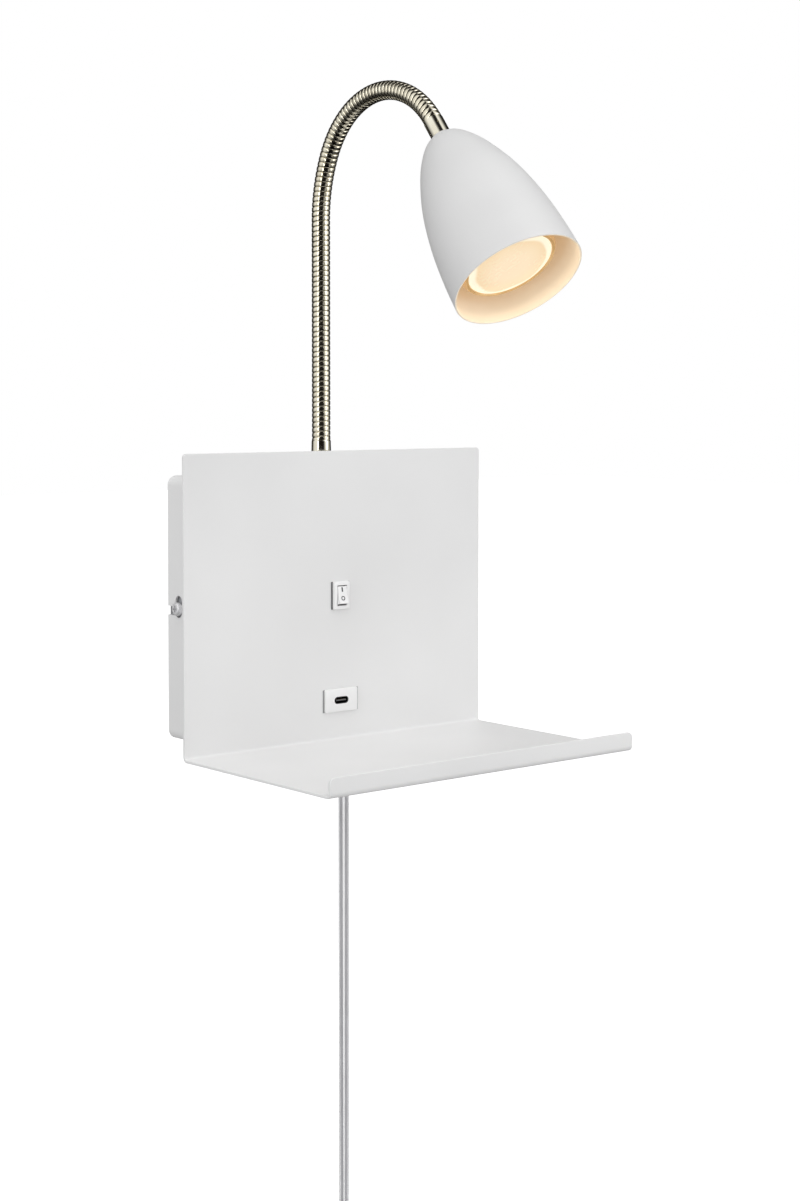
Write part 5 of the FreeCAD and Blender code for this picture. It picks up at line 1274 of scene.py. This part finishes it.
@dataclass
class Switch(PanelFitting):
    """Rocker switch: a bezel with a bevelled rim, and a hollowed rocker with its two marks.

    Attributes:
        opening: Width and height of the hole for the rocker.
        tilt: How far the rocker is tipped, in degrees.
        face: Distance of the rocker's face from its pivot.
        tip: Distance of the rocker's tips from its middle.
        hollow: Power by which the hollow between the pads rises to the tips.
        mark_bar: Width and height of the bar.
        mark_ring: Inner and outer radius of the ring.
    """

    height: float = SWITCH_HEIGHT
    proud: float = 0.0020
    plate: Pair = (0.0105, 0.0150)
    lip: tuple[float, int] = (0.0005, 3)
    body: Pair = (0.0084, 0.0129)
    body_depth: float = 0.0150
    shadow_strip: Pair = (0.0004, 0.00012)
    opening: Pair = (0.0064, 0.0109)
    pivot_y: float = -0.0327
    tilt: float = 12.0
    face: float = 0.0019
    tip: float = 0.00474
    width: float = 0.0060
    rear: float = 0.0025
    hollow: float = 1.4
    mark_bar: Pair = (0.0008, 0.0025)
    mark_ring: Pair = (0.00078, 0.00122)

    @property
    def dip(self) -> float:
        """Depth of the hollow between the two pads."""
        return self.face * math.tan(math.radians(self.tilt)) * 0.9

    def pad(self, above: float) -> float:
        """Y of the untipped rocker's face at a height above its middle."""
        return self.pivot_y - self.face + self.dip * (1 - (abs(above) / self.tip) ** self.hollow)

    def tipped(self) -> Matrix:
        """Turn about the rocker's pivot, from level to its on position.

        Returns:
            The turn.
        """
        pivot = Vector((0.0, self.pivot_y, self.height))
        turn = Matrix.Rotation(math.radians(-self.tilt), 4, "X")
        return Matrix.Translation(pivot) @ turn @ Matrix.Translation(-pivot)

    def build(self) -> None:
        """Make the bezel, the rocker and its marks, and dress the inside of the switch."""
        dress(WHITE_PLASTIC, "switch_housing", "switch_plunger")
        dress(BRASS, "switch_contact", "switch_terminals")
        self.bezel()
        # Dark strips beside the bezel: a painted shadow on the panel.
        self.shadow_strips("switch_shadow_strips", SWITCH_SHADOW_STRIP)
        self.rocker()
        self.marks()

    def bezel(self) -> None:
        """Rim round the rocker, and the barrel behind it with its well."""
        near, floor = self.front - 0.01, self.front + self.body_depth - 0.001
        rim = Piece.make("switch_rim", self.face_plate(), WHITE_PLASTIC, "base")
        Piece.carve(rim, [Shape.slab(self.opening, self.height, near, self.front + 0.01)])
        Piece.soften(rim, 0.00012, 2, angle=60.0)
        barrel = Shape.slab(self.body, self.height, self.front, self.front + self.body_depth, 0.0003)
        well = Piece.make("switch_barrel", barrel, WHITE_PLASTIC, "base", ["switch_housing"])
        Piece.carve(well, [Shape.slab(self.opening, self.height, near, floor)])

    def rocker(self) -> None:
        """Rocker: two pads that meet in a shallow curved hollow, with rounded edges."""
        steps, skirt, stem = 14, self.pivot_y + 0.0009, 0.0022
        back = self.pivot_y + self.rear
        heights = [-self.tip + 2 * self.tip * step / steps for step in range(steps + 1)]
        outline = [(self.pad(z), z) for z in heights]
        outline += [(skirt, self.tip), (skirt, stem), (back, stem),
                    (back, -stem), (skirt, -stem), (skirt, -self.tip)]
        mesh = Shape.plate([(-self.width / 2, y, self.height + z) for y, z in outline], (self.width, 0.0, 0.0))
        mesh.transform(self.tipped())
        cap = Piece.make("rocker_cap", mesh, WHITE_PLASTIC, "rocker", ["rocker_button"])
        Piece.soften(cap, 0.0003, angle=40.0)

    def marks(self) -> None:
        """Printed bar and ring on the two pads."""
        steepest = math.atan2(self.dip * self.hollow, self.tip)
        half_w, half_h = self.mark_bar[0] / 2, self.mark_bar[1] / 2
        inner, outer = self.mark_ring
        parts = []
        for mark, above in ((Mark.ON, 0.0029), (Mark.OFF, -0.0018)):
            lean = math.copysign(steepest * (abs(above) / self.tip) ** (self.hollow - 1), above)
            spot = Matrix.Translation((-0.0003, self.pad(above), self.height + above))
            place = self.tipped() @ spot @ Matrix.Rotation(lean, 4, "X")
            if mark is Mark.ON:
                parts.append(Shape.bar((-half_w, -0.00012, -half_h), (half_w, 0.00006, half_h), 0.00003, 1, place))
            else:
                ring = [(inner, -0.00006), (inner, 0.0001), (outer, 0.0001), (outer, -0.00006)]
                flat = place @ Matrix.Rotation(math.pi / 2, 4, "X")
                parts.append(Shape.lathe(ring, flat, 32, closed=True))
        Piece.make("switch_marks", Shape.join(parts), MARK_GREY, "rocker")


@dataclass
class UsbSocket(PanelFitting):
    """USB-C socket in its face plate, with the charger behind.

    Attributes:
        slot: Width and height of the slot.
    """

    height: float = SOCKET_HEIGHT
    proud: float = 0.0013
    plate: Pair = (0.0218, 0.0124)
    lip: tuple[float, int] = (0.0004, 4)
    body: Pair = (0.0190, 0.0096)
    body_depth: float = 0.009
    shadow_strip: Pair = (0.0003, 0.0001)
    slot: Pair = (0.00954, 0.00386)

    def build(self) -> None:
        """Make the face plate with its rounded slot and the tongue's contacts, and dress the charger."""
        dress(SOCKET_METAL, "usb_shell")
        dress(TONGUE, "usb_tongue")
        dress(BLACK_PLASTIC, "charger_case")
        dress(BOARD, "charger_board")
        face = Piece.make("socket_plate", self.face_plate(), WHITE_PLASTIC, "base")
        Piece.carve(face, [self.slot_bar()])
        Piece.soften(face, 0.00015, angle=60.0)
        # Dark strips beside the face plate: a painted shadow on the panel.
        self.shadow_strips("socket_shadow_strips", SOCKET_SHADOW_STRIP)
        behind = Shape.slab(self.body, self.height, self.front, self.front + self.body_depth, 0.0002)
        block = Piece.make("socket_block", behind, WHITE_PLASTIC, "base", ["usb_bezel"])
        Piece.carve(block, [self.slot_bar()])
        self.contacts()

    def slot_bar(self) -> bmesh.types.BMesh:
        """Shape the bar with round ends that cuts the slot.

        Returns:
            The bar.
        """
        bar = Shape.slab(self.slot, self.height, self.front - 0.01, self.front + 0.02)
        Shape.round_edges(bar, Shape.edges_along(bar, 1, 0.005), self.slot[1] * 0.499, 10)
        return bar

    def contacts(self) -> None:
        """Row of gilt contacts over and under the tongue."""
        low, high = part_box("usb_tongue")
        count, pitch, half, thick = 12, 0.0005, 0.00013, 0.00003
        near, far = low.y + 0.0004, low.y + 0.004
        parts = []
        for number in range(count):
            x = (number - (count - 1) / 2) * pitch
            for bottom, top in ((high.z, high.z + thick), (low.z - thick, low.z)):
                parts.append(Shape.bar((x - half, near, bottom), (x + half, far, top)))
        Piece.make("socket_contacts", Shape.join(parts), BRASS, "base")


@dataclass
class BackBox:
    """Shallow steel box on its wall bracket, with the wiring that shows from behind."""

    wire_radius: float = 0.0008

    def build(self) -> None:
        """Dress the box and its fittings, and lay the inner wires."""
        dress(POWDER, "back_box")
        dress(ZINC, "wall_bracket", "panel_nuts", "neck_washer", "neck_nut")
        dress(SCREW, "side_screws", "terminal_screws")
        dress(NYLON, "terminal_block")
        for number, (finish, route) in enumerate(self.routes()):
            points = [[value / 1000 for value in point] for point in route]
            wire = Spline.nurbs(f"inner_wire_{number}", points, self.wire_radius, finish, rings=3)
            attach(wire, "base")
            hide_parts("internal_wires")

    def routes(self) -> list[tuple[Finish, list[Triple]]]:
        """Lay out the inner wires.

        Returns:
            Finish and points of each wire, in millimetres.
        """
        return [
            (WIRE_BROWN, [(12.9, -16.5, -65.55), (12.9, -16.5, -56.55), (18.0, -19.8, -49.55),
                          (29.0, -22.8, -48.55), (32.0, -22.8, -38.0)]),
            (WIRE_BLUE, [(15.1, -16.5, -65.55), (15.1, -16.5, -60.55), (24.0, -19.8, -56.55),
                         (41.0, -22.8, -54.55), (44.0, -22.8, -38.0)]),
            (WIRE_BROWN, [(30.9, -22.8, -22.0), (30.9, -22.8, -13.0), (18.0, -9.0, -3.3), (6.0, -9.5, -0.3),
                          (-1.0, -9.5, -0.3)]),
            (WIRE_BROWN, [(-1.0, -9.5, 6.7), (6.0, -9.5, 7.7), (7.0, -11.0, 24.7), (1.1, -15.0, 45.75),
                          (1.1, -15.0, 58.75)]),
            (WIRE_BLUE, [(45.1, -22.8, -22.0), (45.1, -22.8, -5.0), (24.0, -12.0, 22.0), (-1.1, -15.0, 40.75),
                         (-1.1, -15.0, 58.75)]),
            (WIRE_BROWN, [(33.1, -22.8, -22.0), (33.1, -22.8, -16.0), (22.0, -8.0, -18.0), (0.0, -15.7, -32.3),
                          (0.0, -15.7, -42.3)]),
            (WIRE_BLUE, [(42.9, -22.8, -22.0), (42.9, -22.8, -13.0), (26.0, -5.0, -17.0), (-6.0, -15.7, -29.3),
                         (-6.0, -15.7, -42.3)]),
        ]


@dataclass
class Gooseneck:
    """Wound metal hose between two plain sleeves, in stretches that each span one pivot.

    Attributes:
        pitch: Length of one bead of the winding.
        groove: Depth of the groove between two beads.
        rows_per_turn: Rows of faces across a bead.
        sides: Faces round the hose.
        reach: How far a stretch's span round its pivot reaches to each side; the span is worked out but not used.
        bore: Radius of the bore through the sleeves.
        elbow_pivot: Pivot where two rigid halves meet over a ball.
        elbow_radius: Radius of that ball.
        blends_downwards: Pivots whose two bodies are listed from the upper one to the lower one; that list is not
            used further.
    """

    radius: float = 0.005
    pitch: float = 0.0027
    groove: float = 0.00042
    rows_per_turn: int = 9
    sides: int = 44
    reach: float = 0.0145
    bore: float = 0.0021
    elbow_pivot: int = 7
    elbow_radius: float = 0.0047
    blends_downwards: tuple[int, ...] = (4, 5)
    smooth: float = 62.0

    def build(self) -> None:
        """Make the foot sleeve, the stretches of the hose and the end sleeve."""
        self.foot()
        for number in range(1, PATH.pivots + 1):
            if number == self.elbow_pivot:
                self.elbow(number)
            else:
                self.stretch(number)
        self.end()
        for number in range(PATH.pivots + 1):
            dress(CABLE_GREY, f"hose_cable_{number}")

    def body_name(self, number: int) -> str:
        """Body that carries a link of the hose.

        Args:
            number: Number of the link, from 0 at the foot.

        Returns:
            Name of the body.
        """
        if number == 0:
            return "base"
        return "head" if number == PATH.pivots else f"hose_{number}"

    def bead(self, phase: float) -> float:
        """Radius of the winding at a share of its turn: a rounded bead between two sharp grooves."""
        across = abs(2.0 * (phase % 1.0) - 1.0)
        return self.radius - self.groove * (1.0 - math.sqrt(max(0.0, 1.0 - across ** 3.6)))

    def winding(self, start: float, end: float) -> bmesh.types.BMesh:
        """Closed piece of the winding.

        Args:
            start: Length along the hose where it starts.
            end: Length where it ends.

        Returns:
            The piece, cut square to the hose at both ends.
        """
        rows = math.ceil((end - start) / self.pitch + 3) * self.rows_per_turn
        first = math.floor(start / self.pitch) - 1
        mesh = bmesh.new()
        bmesh.ops.create_grid(mesh, x_segments=self.sides, y_segments=rows, size=0.5)
        for vertex in mesh.verts:
            around, row = round((vertex.co.x + 0.5) * self.sides), round((vertex.co.y + 0.5) * rows)
            angle = math.tau * around / self.sides
            turns = first + row / self.rows_per_turn + around / self.sides
            radius = self.bead(row / self.rows_per_turn)
            vertex.co = self.spot(turns * self.pitch, angle, radius)
        bmesh.ops.remove_doubles(mesh, verts=mesh.verts, dist=2e-6)
        for at, way in ((start, -1.0), (end, 1.0)):
            bmesh.ops.bisect_plane(mesh, geom=[*mesh.verts, *mesh.edges, *mesh.faces], plane_co=PATH.point(at),
                                   plane_no=PATH.ahead(at) * way, clear_outer=True)
        bmesh.ops.holes_fill(mesh, edges=[e for e in mesh.edges if e.is_boundary], sides=0)
        bmesh.ops.recalc_face_normals(mesh, faces=mesh.faces)
        return mesh

    def stretch(self, number: int) -> None:
        """One stretch of the winding, from the middle of a link to the middle of the next.

        Args:
            number: Pivot that the stretch spans, from 1.
        """
        start, end = PATH.middle(number - 1), PATH.middle(number)
        links = [f"hose_link_{number}"] + (["hose_link_0"] if number == 1 else [])
        piece = Piece.make(f"hose_winding_{number}", self.winding(start, end), NICKEL, None, links,
                           smooth=self.smooth)
        pivot = PATH.pivot(number)
        near, far = max(pivot - self.reach, start + 0.001), min(pivot + self.reach, end - 0.001)
        ends = [(self.body_name(number - 1), PATH.point(near)), (self.body_name(number), PATH.point(far))]
        if number in self.blends_downwards:
            ends.reverse()
        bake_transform(piece)

    def elbow(self, number: int) -> None:
        """Stretch in two rigid halves that meet at the pivot, over a ball that fills the bend.

        Args:
            number: Pivot between the halves.
        """
        pivot = PATH.pivot(number)
        Piece.make(f"hose_winding_{number}_near", self.winding(PATH.middle(number - 1), pivot), NICKEL,
                   self.body_name(number - 1), smooth=self.smooth)
        Piece.make(f"hose_winding_{number}_far", self.winding(pivot, PATH.middle(number)), NICKEL,
                   self.body_name(number), [f"hose_link_{number}"], smooth=self.smooth)
        mesh = bmesh.new()
        bmesh.ops.create_uvsphere(mesh, u_segments=48, v_segments=32, radius=self.elbow_radius,
                                  matrix=PATH.place(pivot))
        Piece.make(f"hose_ball_{number}", mesh, NICKEL, self.body_name(number - 1), smooth=self.smooth)

    def spot(self, at: float, angle: float, radius: float) -> Vector:
        """Point of the winding's surface.

        Args:
            at: Length along the hose, which may run a little past either end.
            angle: Turn round the hose.
            radius: Distance from the middle line.

        Returns:
            The point.
        """
        inside = min(max(at, 0.0), PATH.length)
        place = PATH.place(inside)
        return place @ Vector((radius * math.cos(angle), radius * math.sin(angle), at - inside))

    def foot(self) -> None:
        """Tapered sleeve on the box top, with its threaded end inside the box."""
        base, top, height, thread, below = 0.00555, 0.0051, 0.01765, 0.0040, -0.008
        outline = [(self.bore, below), (thread - 0.0004, below), (thread, below + 0.0004), (thread, 0.0),
                   (base, 0.0), (base + 0.00001, 0.0003), (top + 0.0001, height - 0.0006),
                   (top - 0.0002, height), (self.bore, height)]
        place = Matrix.Translation((0.0, -PATH.depth, PATH.start - height))
        Piece.make("foot_sleeve", Shape.lathe(outline, place, 96, closed=True), NICKEL_SLEEVE, "base",
                   ["neck_ferrule"], smooth=25.0)

    def end(self) -> None:
        """Plain sleeve on the hose end, with a small pinch hole, and the thread that carries the shade."""
        radius, length, thread, whole = 0.00515, 0.0113, 0.0045, 0.0219
        outline = [(self.bore, 0.0), (radius - 0.0002, 0.0), (radius, 0.0002), (radius, length), (thread, length),
                   (thread, whole), (self.bore, whole)]
        sleeve = Piece.make("end_sleeve", Shape.lathe(outline, PATH.tip, 96, closed=True), NICKEL_SLEEVE, "head",
                            ["end_ferrule"], smooth=25.0)
        bearing, pinch_at = math.radians(119.0), 0.0047
        pinch = [(0.0, -0.001), (0.0004, -0.001), (0.0006, 0.0006), (0.0, 0.0006)]
        out = Vector((math.cos(bearing), math.sin(bearing), 0.0))
        spot = PATH.tip @ Matrix.Translation(out * radius + Vector((0, 0, pinch_at)))
        aim = out.to_track_quat("Z", "X").to_matrix().to_4x4()
        Piece.carve(sleeve, [Shape.lathe(pinch, spot @ aim, 24)])


@dataclass
class Head:
    """Bullet shade, the holder inside it and the lit lamp, on the axis of the hose's end."""

    nose: float = 0.0113
    rim: float = 0.1040
    wall: float = 0.0009
    hole: float = 0.00465
    lamp_front: float = 0.0947
    lens_radius: float = 0.022
    lamp_radius: float = 0.025
    wire_radius: float = 0.0007
    light_size: float = 0.040
    light_power: float = 0.012
    light_colour: Colour = (1.0, 0.82, 0.58)
    shade_outline: tuple[Pair, ...] = (
        (0.0060, 0.0927), (0.0114, 0.0880), (0.0169, 0.0800), (0.0216, 0.0700), (0.0268, 0.0550),
        (0.0309, 0.0350), (0.0329, 0.0150), (0.0335, 0.0))

    def build(self) -> None:
        """Make the shade, the lamp and the inner wires, and dress the holder."""
        self.shade()
        self.lamp()
        dress(ZINC, "shade_spacer", "shade_nut", "holder_bracket")
        dress(CERAMIC, "lamp_holder", "lamp_base")
        dress(BRASS, "holder_contacts")
        dress(SCREW, "holder_screws")
        dress(PIN_NICKEL, "lamp_pins")
        for side in (-1, 1):
            near, far = side * 0.0008, side * 0.005
            route = [(near, 0.0, 0.0209), (near, 0.0, 0.0224), (far, 0.0, 0.0246), (far, 0.0, 0.0264)]
            points = [PATH.tip @ Vector(point) for point in route]
            name, finish = ("lamp_wire_left", WIRE_BROWN) if side < 0 else ("lamp_wire_right", WIRE_BLUE)
            wire = Spline.nurbs(name, points, self.wire_radius, finish, rings=3)
            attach(wire, "head")
            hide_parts("lamp_wires")

    def lens_middle(self) -> Triple:
        """Middle of the lens, where the lamp's light comes from."""
        return (PATH.tip @ Vector((0.0, 0.0, self.lamp_front))).to_tuple()

    def shade(self) -> None:
        """Spun shell with a flat seat on the nose and a softly rounded rim."""
        curve = [(radius, self.rim - back) for radius, back in Spline.through(self.shade_outline, 10)]
        outline = [(self.hole, self.nose)] + curve
        mesh = Shape.lathe(outline, PATH.tip, 160)
        mesh.normal_update()
        axis = PATH.ahead(PATH.length)
        seat = min(mesh.faces, key=lambda face: face.calc_center_median().dot(axis))
        if seat.normal.dot(axis) > 0:
            bmesh.ops.reverse_faces(mesh, faces=mesh.faces)
        # The inner paint glows, warmest near the lamp and fading to nothing towards the rim: painted lamp light on
        # the inner wall.
        tones = ((0.0, (0.0, 0.0, 0.0)), (0.14, (0.16, 0.14, 0.1)), (0.27, (0.19, 0.14, 0.08)),
                 (0.4, (0.3, 0.16, 0.04)))
        inside = LensGlowAndPaintedLight("shade_inner_painted_lamplight", "shade_paint", (0.84, 0.78, 0.68), (0.82, 0.75, 0.64),
                          rough=(0.38, 0.46), scale=1800.0, patches=30.0, depth=0.000006, glow=(1.0, 0.8, 0.5),
                          glow_strength=1.0, middle=self.lens_middle(), radius=0.045, mottle=(1.0, 0.02),
                          tones=tones)
        shade = Piece.make("bullet_shade", mesh, (SHADE_OUT, inside), "head", ["shade"], smooth=60.0)
        shell = shade.modifiers.new("shell", "SOLIDIFY")
        shell.thickness, shell.offset, shell.use_even_offset = self.wall, -1.0, True
        shell.material_offset = shell.material_offset_rim = 1
        Piece.soften(shade, 0.0003, angle=60.0)

    def lamp(self) -> None:
        """Reflector body with a stepped rim, the lit lens, and the light that it throws."""
        front, radius, lens = self.lamp_front, self.lamp_radius, self.lens_radius
        body = [(0.0, 0.0557), (0.0130, 0.0557), (0.0165, 0.0640), (0.0205, 0.0760), (0.0238, front - 0.0050)]
        body += [(out, front - back) for out, back in (
            (radius, 0.0046), (radius, 0.0024), (radius - 0.0006, 0.0020), (radius - 0.0006, 0.0013),
            (radius - 0.0012, 0.0010), (radius - 0.0012, 0.0003), (radius - 0.0016, 0.0), (lens + 0.0003, 0.0),
            (lens, 0.0003), (lens, 0.0014), (0.0, 0.0014))]
        glass = Piece.make("reflector_lamp", Shape.lathe(body, PATH.tip, 128), LAMP_RIM, "lamp", ["lamp_body"],
                           smooth=28.0)
        Piece.soften(glass, 0.0002, 2)
        dome = Shape.lathe(self.crown(), PATH.tip, 96)
        Piece.make("lamp_glass", dome, self.lit_lens(), "lamp", ["lamp_lens"], smooth=50.0)
        data = bpy.data.lights.new("lamp_light", "AREA")
        data.shape, data.size, data.energy = "DISK", self.light_size, self.light_power
        data.color, data.spread = self.light_colour, math.pi
        light = show("lamp_light", data)
        aim = PATH.ahead(PATH.length).to_track_quat("-Z", "Y").to_matrix().to_4x4()
        light.matrix_world = Matrix.Translation(PATH.tip @ Vector((0.0, 0.0, front + 0.0022))) @ aim
        light.visible_camera = False
        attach(light, "lamp")

    def crown(self) -> list[Pair]:
        """Domed outline of the lens, on a flat back.

        Returns:
            Points (radius, height).
        """
        edge, foot, rise, steps, fullness = self.lens_radius - 0.0001, self.lamp_front - 0.0006, 0.0020, 12, 0.8
        points = [(0.0, self.lamp_front - 0.0013), (self.lens_radius - 0.00005, self.lamp_front - 0.0013)]
        for step in range(steps):
            turn = math.pi / 2 * step / steps
            points.append((edge * math.cos(turn) ** fullness, foot + rise * math.sin(turn)))
        return points + [(0.0, foot + rise)]

    def lit_lens(self) -> LensGlowAndPaintedLight:
        """Light up the lens: bright at its rim, then cream, then paler towards the middle.

        Returns:
            The finish.
        """
        core, amber, cream, bright = (0.93, 0.75, 0.53), (0.9, 0.71, 0.48), (0.86, 0.66, 0.42), (1.0, 0.9, 0.7)
        return LensGlowAndPaintedLight("lit_lens", "lamp_lens_glow", (0.2, 0.17, 0.12), rough=(0.2, 0.35), scale=500.0,
                        depth=0.00002, glow=core, glow_strength=0.93, middle=self.lens_middle(),
                        radius=self.lens_radius * 1.02,
                        tones=((0.0, bright), (0.05, bright), (0.11, cream), (0.3, amber), (0.55, core)))


def main() -> None:
    """Build the studio, then each sub-assembly in order."""
    logging.basicConfig(level=logging.INFO, format="%(message)s")
    for maker in (Studio(), MainsCord(), FoldedShelf(), Switch(), UsbSocket(), BackBox(), Gooseneck(), Head()):
        maker.build()
        LOG.info("%s is built", type(maker).__name__)


if __name__ == "__main__":
    main()
